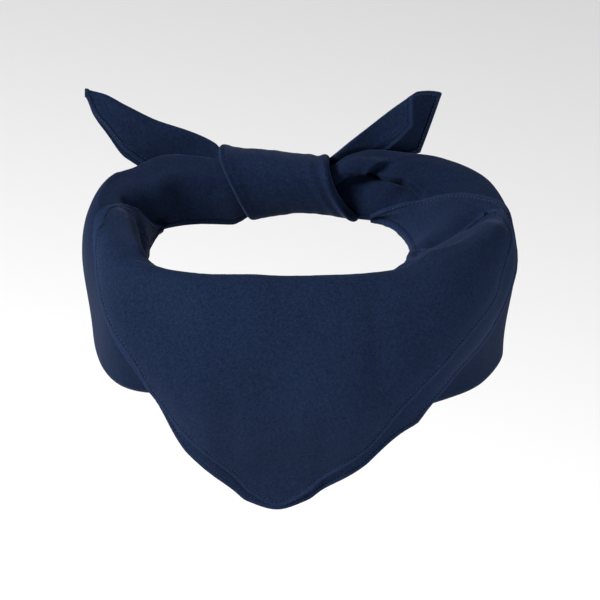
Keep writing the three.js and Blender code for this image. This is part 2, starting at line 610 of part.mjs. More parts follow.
const neckerchief = new THREE.Group();
neckerchief.add(
  piece("band_left", band(bandKnotLeft, bandFrontLeft), navyClothInShade()),
  piece("band_right", band(bandFrontRight, bandKnotRight), navyClothInShade()),
  piece("bib_under", bibLayer(underRows, 1), navyCloth()),
  piece("bib_outer", bibLayer(outerRows, 2), navyCloth()),
  piece("knot_wrap", knotWrap(), navyCloth()),
  piece("tail_left", tailLeft(), navyCloth()),
  piece("tail_right", tailRight(), navyCloth()),
);

export default neckerchief;
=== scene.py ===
import logging
import math
from dataclasses import dataclass, field
from enum import Enum
from typing import Callable, ClassVar, Sequence

import bpy
import numpy as np
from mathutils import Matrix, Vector
from mathutils.kdtree import KDTree


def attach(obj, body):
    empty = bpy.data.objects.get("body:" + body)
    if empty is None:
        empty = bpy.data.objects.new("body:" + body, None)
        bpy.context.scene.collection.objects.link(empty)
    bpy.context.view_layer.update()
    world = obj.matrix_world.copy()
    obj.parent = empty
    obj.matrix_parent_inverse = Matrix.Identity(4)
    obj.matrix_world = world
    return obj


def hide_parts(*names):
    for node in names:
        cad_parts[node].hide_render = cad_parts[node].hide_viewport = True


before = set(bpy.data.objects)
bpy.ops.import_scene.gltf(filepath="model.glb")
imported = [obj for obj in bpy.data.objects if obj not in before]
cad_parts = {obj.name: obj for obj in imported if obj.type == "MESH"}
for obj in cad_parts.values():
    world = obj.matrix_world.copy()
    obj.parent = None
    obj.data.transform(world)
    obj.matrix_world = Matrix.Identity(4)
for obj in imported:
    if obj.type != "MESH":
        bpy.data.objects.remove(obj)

LOG = logging.getLogger("neckerchief")
MM = 0.001
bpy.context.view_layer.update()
Values = np.ndarray


class Table:
    """A short table of sizes with named columns, read smoothly between its rows."""

    def __init__(self, columns: Sequence[str], rows: Sequence[Sequence[float]]) -> None:
        """Keeps the rows by column.

        Args:
            columns: The columns' names; the first is the place along which the table is read.
            rows: One list of numbers for each place, in rising order of place.
        """
        data = np.array(rows, float)
        self.place = data[:, 0]
        self.columns = {name: data[:, i] for i, name in enumerate(columns)}

    def read(self, column: str, at: Values) -> Values:
        """Reads a column without overshoot between its rows.

        Args:
            column: The column's name.
            at: The places to read it at.

        Returns:
            The values there, in the shape of at.
        """
        x, y = self.place, self.columns[column]
        at = np.clip(at, x[0], x[-1])
        step = np.diff(x)
        rise = np.diff(y) / step
        slope = np.zeros_like(y)
        both = rise[:-1] * rise[1:]
        total = np.where(both > 0, rise[:-1] + rise[1:], 1.0)
        slope[1:-1] = np.where(both > 0, 2 * both / total, 0.0)
        i = np.clip(np.searchsorted(x, at, side="right") - 1, 0, len(step) - 1)
        t = (at - x[i]) / step[i]
        ease = t * t * (3 - 2 * t)
        bend = step[i] * t * (1 - t) * (slope[i] * (1 - t) - slope[i + 1] * t)
        return y[i] * (1 - ease) + y[i + 1] * ease + bend


# Sections of the worn form, a row per turn round the neck in degrees from the point in front, negative
# to the left. Lengths are in millimetres.
FORM = Table(
    ("turn", "fold_up", "crest_out", "crest_up", "belly_out", "belly_drop", "tip_out", "tip_drop", "swell"),
    (
        (-167, -11.1, 4.93, 16, 8.99, 10.92, 5.51, 18.48, 8.75),
        (-156, -16.5, 5.51, 16, 9.28, 10.92, 5.8, 21.84, 8.05),
        (-146, -15.6, 11.88, 16.4, 17.28, 14.28, 12.96, 30.24, 7),
        (-132, -13.95, 22.68, 16.8, 25.92, 18.48, 18.72, 31.08, 7.7),
        (-124, -15, 20.52, 15.2, 30.24, 22.68, 22.32, 48.72, 7.7),
        (-117, -17.25, 25.2, 14.4, 33.12, 25.2, 25.2, 60.48, 7.7),
        (-106, -17.25, 24.12, 10.8, 32.76, 26.04, 26.64, 69.72, 8.05),
        (-90, -15.75, 20.16, 5.2, 29.7, 26.04, 25.2, 77.28, 8.4),
        (-74, -12, 15.84, 1.6, 23.76, 30.24, 23.76, 76.44, 6.3),
        (-63, -9.3, 10.08, -2.4, 21.96, 37.8, 21.24, 73.92, 2.8),
        (-52, -9, 5.04, -4.4, 18, 43.68, 15.84, 72.24, 0),
        (-40, -9, 4.32, -4, 18.4, 57.54, 13.8, 97, 0),
        (-21, -9.3, 3.22, -4, 18.86, 63.02, 9.66, 122.3, 0),
        (-16, -9.45, 3.22, -4, 19.09, 64.39, 8.28, 127.8, 0),
        (0, -9.75, 3.22, -4, 19.32, 65.76, 6.9, 133.6, 0),
        (16, -9.45, 3.45, -4, 19.32, 64.39, 8.28, 127, 0),
        (23, -9.3, 3.68, -4, 19.32, 63.02, 9.66, 120, 0),
        (40, -8.7, 4.6, -4.8, 19.78, 60.28, 13.8, 102.8, 0),
        (52, -8.25, 6.96, -5.2, 27.26, 42, 23.2, 81.06, 0),
        (63, -7.5, 16.24, -2.4, 37.41, 36.96, 30.16, 73.92, 0),
        (74, -7.5, 30.74, 0, 44.95, 30.24, 40.02, 75.6, 0),
        (90, -9.3, 44.66, 3.6, 55.68, 21.84, 48.72, 74.76, 1.4),
        (104, -12.85, 49.3, 6, 55.68, 21, 46.98, 73.08, 2.1),
        (113, -12.71, 48.72, 10, 54.23, 21.84, 42.92, 66.36, 2.8),
        (124, -11.03, 37.7, 15.6, 43.5, 21, 34.8, 52.08, 4.2),
        (130, -10.9, 26.68, 18.4, 31.9, 17.64, 24.36, 38.64, 5.6),
        (139, -11.3, 19.72, 20, 24.36, 15.12, 17.4, 33.6, 4.9),
        (145, -7.4, 12.76, 18.8, 17.4, 12.6, 11.6, 23.52, 3.5),
        (152, -5.9, 6.96, 13.6, 10.44, 8.4, 6.96, 17.39, 2.45),
        (158, -4.8, 5.8, 10, 8.99, 7.56, 5.8, 14.11, 1.75),
        (166, -3.3, 5.22, 9.2, 8.7, 7.56, 5.22, 12.6, 1.4),
    ),
)

# How much of the section each layer covers: 0 is the inner fold, 1 the ridge and 2 the lower end.
OUTER_COVER = Table(
    ("turn", "begin", "end"),
    (
        (-100.2, 0, 0.76), (-99.7, 0, 0.83), (-98.7, 0, 0.885), (-97, 0, 0.935), (-94, 0, 0.99),
        (-91, 0, 1.04), (-84.5, 0, 1.13), (-77.5, 0, 1.25), (-70.5, 0, 1.46), (-64.5, 0, 1.63),
        (-56, 0, 1.81), (-50, 0, 1.93), (-40, 0, 1.935), (-28, 0, 1.95), (0, 0, 1.988), (30, 0, 1.96),
        (40, 0, 1.945), (45.5, 0, 1.93), (50, 0, 1.89), (57.5, 0, 1.79), (65, 0, 1.66), (73.5, 0, 1.56),
        (79, 0, 1.42), (84, 0.04, 1.33), (87, 0.22, 1.27), (90, 0.41, 1.2), (93.5, 0.53, 1.14),
        (97, 0.63, 1.06), (99, 0.69, 0.99), (100.3, 0.75, 0.92), (100.9, 0.8, 0.87),
    ),
)
UNDER_COVER = Table(
    ("turn", "begin", "end"),
    (
        (-125, 0, 0.03), (-118, 0, 0.14), (-113, 0, 0.29), (-109, 0, 0.5), (-105, 0, 0.69), (-100, 0, 0.93),
        (-93, 0, 1.105), (-83, 0, 1.2), (-74, 0, 1.48), (-64, 0, 1.7), (-57, 0, 1.84), (-52, 0, 1.94),
        (-44, 0, 2), (0, 0, 2), (53.5, 0, 2), (56.5, 0, 1.97), (60.5, 0, 1.93), (65, 0, 1.85),
        (71, 0, 1.79), (78.5, 0, 1.71), (84, 0, 1.62), (90, 0, 1.48), (96, 0, 1.3), (102, 0, 1.12),
        (107, 0, 0.9), (111, 0, 0.7), (115, 0, 0.5), (119, 0, 0.34), (124, 0, 0.19), (129.5, 0, 0.1),
        (134, 0, 0.04),
    ),
)

# Creases pressed into all the layers: from one turn and place across to another, with their depth and width
# as shares of the form's crease_depth and crease_width.
CREASES = (
    (151, 0.2, 139, 0.44, 0.8, 0.9),
    (139, 0.44, 132, 0.66, 1, 1),
    (137, 0.44, 118, 0.35, 0.8, 1),
    (-110, 0.55, -124, 0.05, 1, 1.2),
    (94, 0.76, 82, 0.25, 1.2, 1.7),
    (-80, 0.1, -92, 0.35, 0.6, 1.2),
)

# Sections of the two free ends, as shares of their length and width.
LEFT_END = Table(
    ("along", "top", "far", "near", "back", "puff"),
    (
        (0, -0.2, 0.42, 0.36, 0, 0),
        (0.1, -0.14, 0.46, 0.4, 0, 0),
        (0.2, 0.1, 0.72, 0.66, 0.5, 0.3),
        (0.35, 0.27, 0.9, 0.82, 0.8, 0.8),
        (0.55, 0.43, 1, 0.86, 0.92, 1),
        (0.75, 0.72, 0.95, 0.78, 0.9, 0.8),
        (0.88, 0.92, 0.66, 0.54, 0.95, 0.4),
        (0.95, 0.97, 0.42, 0.36, 0.98, 0.2),
        (1, 1, 0.13, 0.11, 1, 0),
    ),
)
RIGHT_MOUTH = Table(
    ("across", "right", "up"),
    (
        (0, 0.6, -0.9),
        (0.2, 0.74, -0.63),
        (0.3, 0.78, -0.5),
        (0.44, 0.78, -0.08),
        (0.5, 0.81, 0),
        (0.6, 0.9, -0.02),
        (0.7, 1.005, -0.09),
        (0.76, 0.985, -0.22),
        (1, 0.84, -1.06),
    ),
)


@dataclass(frozen=True)
class ClothSizes:
    """Sizes of the cloth itself, in millimetres."""

    thickness: float = 0.8
    hem_width: float = 3.6
    hem_thickness: float = 1.35
    seam_inset: float = 2.9
    seam_dip: float = 0.6
    seam_width: float = 0.5
    hem_outer_share: float = 0.65
    hem_step_in: float = 0.5
    hem_step_out: float = 0.3
    layer_pitch: float = 2.2
    ridge_slack: float = 0.9
    ridge_slack_width: float = 0.25
    hem_sag: float = 0.75
    pucker: float = 0.16
    pucker_length: float = 7.3
    pucker_group: float = 23.0
    slack_ends: float = 9.0
    fold_radius: float = 1.3
    stitch_pitch: float = 2.2
    stitch_length: float = 1.55
    stitch_width: float = 0.42


CLOTH = ClothSizes()


def smooth_step(value: Values, low: float, high: float) -> Values:
    """Eases from 0 at low to 1 at high."""
    t = np.clip((value - low) / (high - low), 0.0, 1.0)
    return t * t * (3 - 2 * t)


def bump_at(value: Values, centre: float, width: float) -> Values:
    """A soft bump of height 1 round a centre."""
    return np.exp(-(((value - centre) / width) ** 2))


@dataclass
class WornForm:
    """The form that the cloth takes round the neck, as a surface of turn and place across."""

    opening_width: float = 151.0
    opening_depth: float = 114.0
    opening_shift: float = -12.5
    squareness: float = 3.0
    crest_roundness: float = 2.0
    bottom_radius: float = 4.0
    bottom_fit: float = 0.25
    bottom_turn_up: float = 9.0
    turn_up_fit: float = 0.12
    crease_reach: float = 36.0
    crease_depth: float = 2.4
    crease_width: float = 6.0

    def opening(self, turn: Values) -> tuple[Values, Values]:
        """Finds where the fold lies round the neck.

        Args:
            turn: Turns in degrees.

        Returns:
            The places and the ways out from the neck, each with a last axis of x and y.
        """
        angle = np.radians(turn)
        side = 2 * np.sin(angle) / self.opening_width
        front = -2 * np.cos(angle) / self.opening_depth
        power = self.squareness
        far = (np.abs(side) ** power + np.abs(front) ** power) ** (-1 / power)
        place = np.stack([self.opening_shift + far * np.sin(angle), -far * np.cos(angle)], -1)
        steep_x = np.sign(side) * np.abs(side * far) ** (power - 1) / self.opening_width
        steep_y = np.sign(front) * np.abs(front * far) ** (power - 1) / self.opening_depth
        out = np.stack([steep_x, steep_y], -1)
        return place, out / np.linalg.norm(out, axis=-1, keepdims=True)

    def crease(self, turn: Values, across: Values) -> Values:
        """How far the creases press the cloth away from the neck.

        Args:
            turn: Turns in degrees.
            across: Places across, in the same shape.

        Returns:
            Depths in millimetres.
        """
        degree = math.pi * self.opening_width / 360
        place = np.stack([turn * degree, across * self.crease_reach], -1)
        deep = np.zeros(place.shape[:-1])
        for from_turn, from_across, to_turn, to_across, depth, width in CREASES:
            start = np.array([from_turn * degree, from_across * self.crease_reach])
            line = np.array([to_turn * degree, to_across * self.crease_reach]) - start
            share = np.clip((place - start) @ line / (line @ line), 0, 1)
            away = np.linalg.norm(place - start - share[..., None] * line, axis=-1)
            deep += self.crease_depth * depth * np.exp(-((away / (width * self.crease_width)) ** 2))
        return deep

    def section(self, turn: Values, across: Values, wall_share: Values) -> tuple[Values, Values]:
        """The section's reach out of the opening and its height.

        Args:
            turn: Turns in degrees.
            across: Places across, at least 0.
            wall_share: How much of the wall's drop is used.

        Returns:
            Reach and height in millimetres.
        """
        size = {name: FORM.read(name, turn) for name in FORM.columns if name != "turn"}
        inner = np.clip(across, 0, 1)
        rise = size["crest_up"] - size["fold_up"]
        run_out = size["crest_out"] - size["swell"] * np.pi * np.cos(np.pi * inner)
        run_up = rise * self.crest_roundness * (1 - inner) ** (self.crest_roundness - 1)
        run = np.hypot(run_out, run_up)
        deep = self.crease(turn, across)
        reach_in = size["crest_out"] * inner - size["swell"] * np.sin(np.pi * inner) + deep * run_up / run
        up_in = size["fold_up"] + rise * (1 - (1 - inner) ** self.crest_roundness) - deep * run_out / run
        down = np.clip(across - 1, 0, 1) * wall_share
        belly = (size["belly_drop"] / size["tip_drop"]) ** (1 / self.crest_roundness)
        below = np.maximum(0, (down - belly) / (1 - belly))
        crest = size["crest_out"]
        reach_out = crest + (size["belly_out"] - crest) * np.sin(np.minimum(down / belly, 1) * np.pi / 2)
        reach_out += (size["tip_out"] - size["belly_out"]) * below * below * (3 - 2 * below)
        lip = self.crease(turn, np.ones_like(across)) * np.maximum(0, 1 - down / belly)
        up_out = size["crest_up"] - size["tip_drop"] * down**self.crest_roundness - lip
        under = np.maximum(0, across - 2)
        bend = np.minimum(under, 0.5) * 2 * np.pi
        radius = np.minimum(self.bottom_radius, self.bottom_fit * size["tip_out"])
        turn_up = np.minimum(self.bottom_turn_up, self.turn_up_fit * size["tip_drop"])
        reach_out -= radius * (1 - np.cos(bend))
        up_out += -radius * np.sin(bend) + turn_up * np.maximum(0, under - 0.5) * 2
        return np.where(across <= 1, reach_in, reach_out), np.where(across <= 1, up_in, up_out)

    def point(self, turn: Values, across: Values, wall_share: Values | float = 1.0) -> Values:
        """A point of the worn form in millimetres. Below 0 across, the cloth rolls round its inner fold.

        Args:
            turn: Turns in degrees.
            across: Places across, in the same shape.
            wall_share: How much of the wall's drop is used.

        Returns:
            The points, with a last axis of x, y and z.
        """
        place, out = self.opening(turn)
        share = np.broadcast_to(np.asarray(wall_share, float), across.shape)
        at = np.maximum(across, 0)
        reach, up = self.section(turn, at, share)
        edge = np.zeros_like(across)
        reach_0, up_0 = self.section(turn, edge, share)
        reach_1, up_1 = self.section(turn, edge + 0.01, share)
        run = np.stack([reach_1 - reach_0, up_1 - up_0], -1)
        run /= np.linalg.norm(run, axis=-1, keepdims=True)
        angle = np.maximum(0, -across) * np.pi
        radius = CLOTH.fold_radius
        curl_out = radius * (-run[..., 0] * np.sin(angle) - run[..., 1] * (np.cos(angle) - 1))
        curl_up = radius * (-run[..., 1] * np.sin(angle) + run[..., 0] * (np.cos(angle) - 1))
        reach = np.where(across < 0, reach_0 + curl_out, reach)
        up = np.where(across < 0, up_0 + curl_up, up)
        return np.concatenate([place + out * reach[..., None], up[..., None]], -1)


WORN = WornForm()


# Distances from an edge, in millimetres, at which a piece of cloth has a line of points.
EDGE_STEPS = np.array([0, 0.08, 0.2, 0.38, 0.6, 0.9, 1.3, 1.8, 2.3, 2.6, 2.9, 3.2, 3.5, 3.9, 4.6, 5.6, 7.0])
# Which line of points the seam follows, from the near edge and from the far one, and what lies between.
SEAM_STEP = int(np.argmin(np.abs(EDGE_STEPS - CLOTH.seam_inset)))
FAR_SEAM = -1 - SEAM_STEP
WITHIN_HEMS = slice(SEAM_STEP, -SEAM_STEP)


def lengths_along(points: Values, axis: int) -> Values:
    """Running length of a grid of points along one of its axes, from 0.

    Args:
        points: The points, with a last axis of x, y and z.
        axis: The axis to run along.

    Returns:
        The length at each point.
    """
    steps = np.linalg.norm(np.diff(points, axis=axis), axis=-1)
    start = np.zeros_like(np.take(steps, [0], axis=axis))
    return np.concatenate([start, np.cumsum(steps, axis=axis)], axis=axis)


def unit(vectors: Values) -> Values:
    """Vectors made one long."""
    size = np.linalg.norm(vectors, axis=-1, keepdims=True)
    return vectors / np.maximum(size, 1e-9)


@dataclass
class ClothGrid:
    """The middle surface of a piece of cloth as a grid of points, in millimetres.

    Its rim is measured in steps of RIM_STEP, and its threads run at THREAD_TURN degrees to its rows.
    """

    RIM_STEP: ClassVar[float] = 0.4
    THREAD_TURN: ClassVar[float] = 45.0

    points: Values
    lift: Values
    closed: bool = False
    hemmed: bool = True
    normal: Values = field(init=False)
    edge: Values = field(init=False)

    def __post_init__(self) -> None:
        """Works out the way out of the surface and the distance of each point to the nearest edge."""
        if self.closed:
            along_c = np.roll(self.points, -1, 1) - np.roll(self.points, 1, 1)
        else:
            along_c = np.gradient(self.points, axis=1)
        along_s = np.gradient(self.points, axis=0)
        self.normal = unit(np.cross(along_c, along_s))
        self.edge = self._edge_distance()

    def _edge_distance(self) -> Values:
        """Distance of each point to the nearest point of the outline.

        Returns:
            Distances in millimetres.
        """
        rim = [self.points[0], self.points[-1]]
        if not self.closed:
            rim += [self.points[:, 0], self.points[:, -1]]
        dense = []
        for line in rim:
            for start, stop in zip(line[:-1], line[1:]):
                count = max(1, int(np.linalg.norm(stop - start) / self.RIM_STEP))
                shares = np.arange(count)[:, None] / count
                dense.append(start + (stop - start) * shares)
            dense.append(line[-1:])
        rim_points = np.concatenate(dense)
        tree = KDTree(len(rim_points))
        for i, place in enumerate(rim_points):
            tree.insert(place, i)
        tree.balance()
        flat = self.points.reshape(-1, 3)
        near = np.array([tree.find(place)[2] for place in flat])
        return near.reshape(self.points.shape[:-1])

    def faces_off(self) -> tuple[Values, Values]:
        """How far the outer and inner face lie off the middle surface, with the hem and its seam.

        Returns:
            The distances of the outer and of the inner face in millimetres.
        """
        d = self.edge
        round_size = CLOTH.hem_thickness / 2 if self.hemmed else CLOTH.thickness / 2
        rounding = np.sqrt(np.clip(1 - (1 - np.minimum(d / round_size, 1)) ** 2, 0, 1))
        extra = np.zeros_like(d)
        seam = np.zeros_like(d)
        if self.hemmed:
            over = CLOTH.hem_thickness - CLOTH.thickness
            step = smooth_step(d, CLOTH.hem_width - CLOTH.hem_step_in, CLOTH.hem_width + CLOTH.hem_step_out)
            extra = over * (1 - step)
            seam = CLOTH.seam_dip * bump_at(d, CLOTH.seam_inset, CLOTH.seam_width)
        outer = (CLOTH.thickness / 2 + CLOTH.hem_outer_share * extra - seam) * rounding
        inner = (CLOTH.thickness / 2 + (1 - CLOTH.hem_outer_share) * extra) * rounding
        return outer, inner

    def faces(self) -> tuple[Values, Values]:
        """The outer and inner face's points.

        Returns:
            The points of the outer face and of the inner face.
        """
        outer, inner = self.faces_off()
        top = self.points + self.normal * (self.lift + outer)[..., None]
        bottom = self.points + self.normal * (self.lift - inner)[..., None]
        return top, bottom

    def threads(self) -> Values:
        """Coordinates in the cloth, turned so that the threads run along its hems, in centimetres.

        Returns:
            A place along the warp and along the weft for each point.
        """
        u = lengths_along(self.points, 0)
        u -= u[u.shape[0] // 2][None]
        v = lengths_along(self.points, 1)
        turn = math.radians(self.THREAD_TURN)
        warp = u * math.cos(turn) - v * math.sin(turn)
        weft = u * math.sin(turn) + v * math.cos(turn)
        return np.stack([warp, weft], -1) / 10


def quads_of(rows: int, columns: int, index: Values, flip: bool, closed: bool) -> Values:
    """Quads over a grid of vertex numbers.

    Args:
        rows: Rows of points.
        columns: Columns of points.
        index: The vertex number of each grid point.
        flip: Whether the quads face the other way.
        closed: Whether the last column meets the first.

    Returns:
        Four vertex numbers a quad.
    """
    j = np.arange(columns if closed else columns - 1)
    k = (j + 1) % columns
    a, b = index[:-1][:, j], index[:-1][:, k]
    c, d = index[1:][:, k], index[1:][:, j]
    corners = (a, d, c, b) if flip else (a, b, c, d)
    return np.stack(corners, -1).reshape(-1, 4)


def in_scene(name: str, data: bpy.types.ID) -> bpy.types.Object:
    """Puts a mesh, a light or a camera in the scene as an object at the origin.

    Args:
        name: The object's name.
        data: The mesh, light or camera.

    Returns:
        The object.
    """
    obj = bpy.data.objects.new(name, data)
    bpy.context.scene.collection.objects.link(obj)
    return obj


def mesh_object(name: str, vertices: Values, quads: Values) -> bpy.types.Object:
    """Makes a smooth mesh object from points in millimetres.

    Args:
        name: The object's name.
        vertices: The points.
        quads: Four vertex numbers a face.

    Returns:
        The object, at the origin.
    """
    mesh = bpy.data.meshes.new(name)
    mesh.vertices.add(len(vertices))
    mesh.vertices.foreach_set("co", (vertices * MM).astype(np.float32).ravel())
    mesh.loops.add(quads.size)
    mesh.loops.foreach_set("vertex_index", quads.astype(np.int32).ravel())
    mesh.polygons.add(len(quads))
    mesh.polygons.foreach_set("loop_start", np.arange(0, quads.size, 4, dtype=np.int32))
    mesh.update(calc_edges=True)
    mesh.validate()
    mesh.shade_smooth()
    return in_scene(name, mesh)


def cloth_object(name: str, grid: ClothGrid) -> bpy.types.Object:
    """Makes a closed sheet of cloth from its middle surface, with thread coordinates and edge distances.

    Args:
        name: The piece's name.
        grid: The cloth's middle surface.

    Returns:
        The piece.
    """
    top, bottom = grid.faces()
    rows, columns = top.shape[:2]
    index_top = np.arange(rows * columns).reshape(rows, columns)
    inside = np.zeros((rows, columns), bool)
    inside[1:-1, slice(None) if grid.closed else slice(1, -1)] = True
    index_bottom = index_top.copy()
    index_bottom[inside] = rows * columns + np.arange(inside.sum())
    vertices = np.concatenate([top.reshape(-1, 3), bottom[inside]])
    quads = np.concatenate([
        quads_of(rows, columns, index_top, False, grid.closed),
        quads_of(rows, columns, index_bottom, True, grid.closed),
    ])
    obj = mesh_object(name, vertices, quads)
    threads = np.concatenate([grid.threads().reshape(-1, 2), grid.threads()[inside]])
    layer = obj.data.uv_layers.new(name="threads")
    order = np.zeros(len(obj.data.loops), np.int32)
    obj.data.loops.foreach_get("vertex_index", order)
    layer.data.foreach_set("uv", threads[order].astype(np.float32).ravel())
    edge = np.concatenate([grid.edge.ravel(), grid.edge[inside]])
    kept = obj.data.attributes.new("edge_distance", "FLOAT", "POINT")
    kept.data.foreach_set("value", edge.astype(np.float32))
    return obj


def ended_steps(first: float, last: float, count: int, mm_per_unit: float) -> Values:
    """Places from first to last, with close ones at both ends for the rounded edge and the hem.

    Args:
        first: The first place.
        last: The last place.
        count: How many even places lie between the close ones.
        mm_per_unit: Millimetres of cloth in one unit of place.

    Returns:
        The places in order.
    """
    close = EDGE_STEPS / mm_per_unit
    between = np.linspace(first + close[-1], last - close[-1], count + 2)[1:-1]
    return np.concatenate([first + close, between, (last - close)[::-1]])


class Layer(Enum):
    """Which layer of the folded cloth a piece is, from the neck outwards."""

    BAND = 0
    UNDER = 1
    OUTER = 2


@dataclass
class WornSheet:
    """A piece of cloth that lies on the worn form between two lines across it."""

    name: str
    layer: Layer
    turns: Values
    begin: Callable[[Values], Values]
    end: Callable[[Values], Values]
    wall_share: Callable[[Values], Values]
    columns: int = 96
    samples: int = 320
    inner_packing: float = 1.6
    most_hem: float = 0.8
    least_square: float = 0.35

    def across(self) -> Values:
        """Places across the form for each row, close together along both edges.

        Returns:
            A row of places for each turn.
        """
        begin, end = self.begin(self.turns), self.end(self.turns)
        shares = np.linspace(0, 1, self.samples)
        fine = begin[:, None] + (end - begin)[:, None] * shares
        turn = np.broadcast_to(self.turns[:, None], fine.shape)
        points = WORN.point(turn, fine, self.wall_share(self.turns)[:, None])
        run = lengths_along(points, 1)
        on_inner_side = (1 - smooth_step(fine, 0.9, 1.3)) * smooth_step(fine, -0.2, 0.1)
        weight = 1 + self.inner_packing * on_inner_side
        steps = np.diff(run, axis=1) * (weight[:, 1:] + weight[:, :-1]) / 2
        close = np.concatenate([run[:, :1], np.cumsum(steps, 1)], 1)
        stretch = [self._slant(points, 0, 1), self._slant(points, -1, -2)]
        places = []
        for i, total in enumerate(run[:, -1]):
            near, far = EDGE_STEPS * stretch[0][i], EDGE_STEPS * stretch[1][i]
            fit = min(1.0, self.most_hem * total / (near[-1] + far[-1]))
            near, far = near * fit, total - far[::-1] * fit
            packed = np.interp([near[-1], far[0]], run[i], close[i])
            between = np.interp(np.linspace(*packed, self.columns + 2)[1:-1], close[i], run[i])
            places.append(np.interp(np.concatenate([near, between, far]), run[i], fine[i]))
        return np.array(places)

    def _slant(self, points: Values, edge: int, beside: int) -> Values:
        """How much longer a step along a row is than the same step square to the edge.

        Args:
            points: The points of the rows.
            edge: The column at the edge.
            beside: The column beside it.

        Returns:
            A factor for each row.
        """
        along = unit(np.gradient(points[:, edge], axis=0))
        into = unit(points[:, beside] - points[:, edge])
        square = np.linalg.norm(np.cross(along, into), axis=-1)
        return 1 / np.clip(square, self.least_square, 1)

    def grid(self) -> ClothGrid:
        """The piece's middle surface, lifted to its layer and wrinkled as the layers under it are.

        Returns:
            The middle surface.
        """
        across = self.across()
        turn = np.broadcast_to(self.turns[:, None], across.shape)
        points = WORN.point(turn, across, self.wall_share(self.turns)[:, None])
        layer = self.layer.value
        slack = CLOTH.ridge_slack * bump_at(across, 1.0, CLOTH.ridge_slack_width)
        grid = ClothGrid(points, layer * (CLOTH.layer_pitch + slack) + wrinkles(turn, across))
        if layer:
            grid.lift = grid.lift - CLOTH.hem_sag * (1 - smooth_step(grid.edge, 1.0, CLOTH.slack_ends))
            grid.lift = grid.lift + hem_puckers(grid)
        return grid


def hem_puckers(grid: ClothGrid) -> Values:
    """Small waves that the seam draws into the hem, along the edge.

    Args:
        grid: The piece's middle surface.

    Returns:
        Heights in millimetres.
    """
    run = lengths_along(grid.points, 0)
    turn = 2 * np.pi * run
    wave = np.sin(turn / CLOTH.pucker_length) * np.sin(turn / CLOTH.pucker_group + 1.0)
    inside = (1 - smooth_step(grid.edge, 2.0, CLOTH.slack_ends)) * smooth_step(grid.edge, 0.0, 1.0)
    return CLOTH.pucker * wave * inside


# How many millimetres wide the steep step of a ledge is.
LEDGE_STEP = 0.7


@dataclass(frozen=True)
class Fold:
    """A fold from one turn and place across to another.

    Its height (below 0 for a hollow) and width are in millimetres. A ledge stands up on the left of the
    line and dips on its right, with a steep step between.
    """

    turn: float
    across: float
    to_turn: float
    to_across: float
    height: float
    width: float
    ledge: bool = False

    def lift(self, place: Values, scale: Values) -> Values:
        """How far the fold lifts the cloth at places given in millimetres.

        Args:
            place: The places, with a last axis of turn and across in millimetres.
            scale: Millimetres in a degree of turn and in one place across.

        Returns:
            Heights in millimetres.
        """
        start = np.array([self.turn, self.across]) * scale
        line = np.array([self.to_turn, self.to_across]) * scale - start
        share = np.clip((place - start) @ line / (line @ line), 0, 1)
        off = place - start - share[..., None] * line
        away = np.linalg.norm(off, axis=-1) / self.width
        if not self.ledge:
            return self.height * np.exp(-(away**2))
        side = (line[0] * off[..., 1] - line[1] * off[..., 0]) / np.linalg.norm(line)
        ends = np.sin(np.pi * np.clip(share, 0.04, 0.96)) ** 0.3
        return self.height * ends * np.tanh(side / LEDGE_STEP) * np.exp(-away)


# Folds over the point, along the gather in the right roll, in the tip and inside both flaps.
FOLDS = (
    Fold(-58, 1.3, -20, 1.85, 0.9, 16), Fold(55, 1.3, 22, 1.85, 0.9, 18),
    Fold(-36, 1.12, 38, 1.12, -0.5, 12), Fold(-30, 1.66, 34, 1.66, 3.4, 22),
    Fold(-20, 2.02, 20, 2.02, -5.0, 17), Fold(-96, 1.35, -70, 1.75, 1.0, 13),
    Fold(96, 1.25, 72, 1.7, -0.8, 12), Fold(133, 0.75, 140, 0.51, 3.0, 6, True),
    Fold(140, 0.51, 152, 0.26, 2.8, 6, True), Fold(121, 0.41, 126, 0.475, 2.6, 6, True),
    Fold(126, 0.475, 140, 0.51, 3.0, 6, True), Fold(119.5, 0.4, 126, 0.48, -2.4, 1.9),
    Fold(126, 0.48, 140, 0.515, -2.4, 1.7), Fold(140, 0.51, 153, 0.25, -1.8, 1.7),
    Fold(138, 0.8, 134, 0.86, -1.3, 5), Fold(130, 0.64, 118, 0.6, -1.8, 8),
    Fold(-100, 1.0, -118, 1.0, 0.9, 3), Fold(143, 0.7, 120, 0.85, 0.9, 8),
    Fold(-109, 0.68, -114, 0.36, -2.4, 3), Fold(-114, 0.36, -124, 0.06, -3.0, 4),
    Fold(-97, 0.42, -66, 0.32, -5.6, 8), Fold(-93, 0.76, -70, 0.74, 1.4, 7),
    Fold(-76, 0.0, -54, 0.0, -2.2, 9), Fold(76, 0.0, 58, 0.0, -1.6, 9), Fold(-88, 0.72, -70, 0.72, 1.2, 8),
    Fold(98, 0.76, 88, 0.3, -4.2, 9), Fold(88, 0.3, 80, 0.0, -1.6, 8), Fold(84, 1.02, 66, 0.9, 2.6, 8),
    Fold(66, 0.9, 60, 0.4, 1.4, 8), Fold(-65, 1.0, -60, 0.9, -1.2, 4), Fold(-150, 0.75, -122, 0.8, -0.7, 8),
)


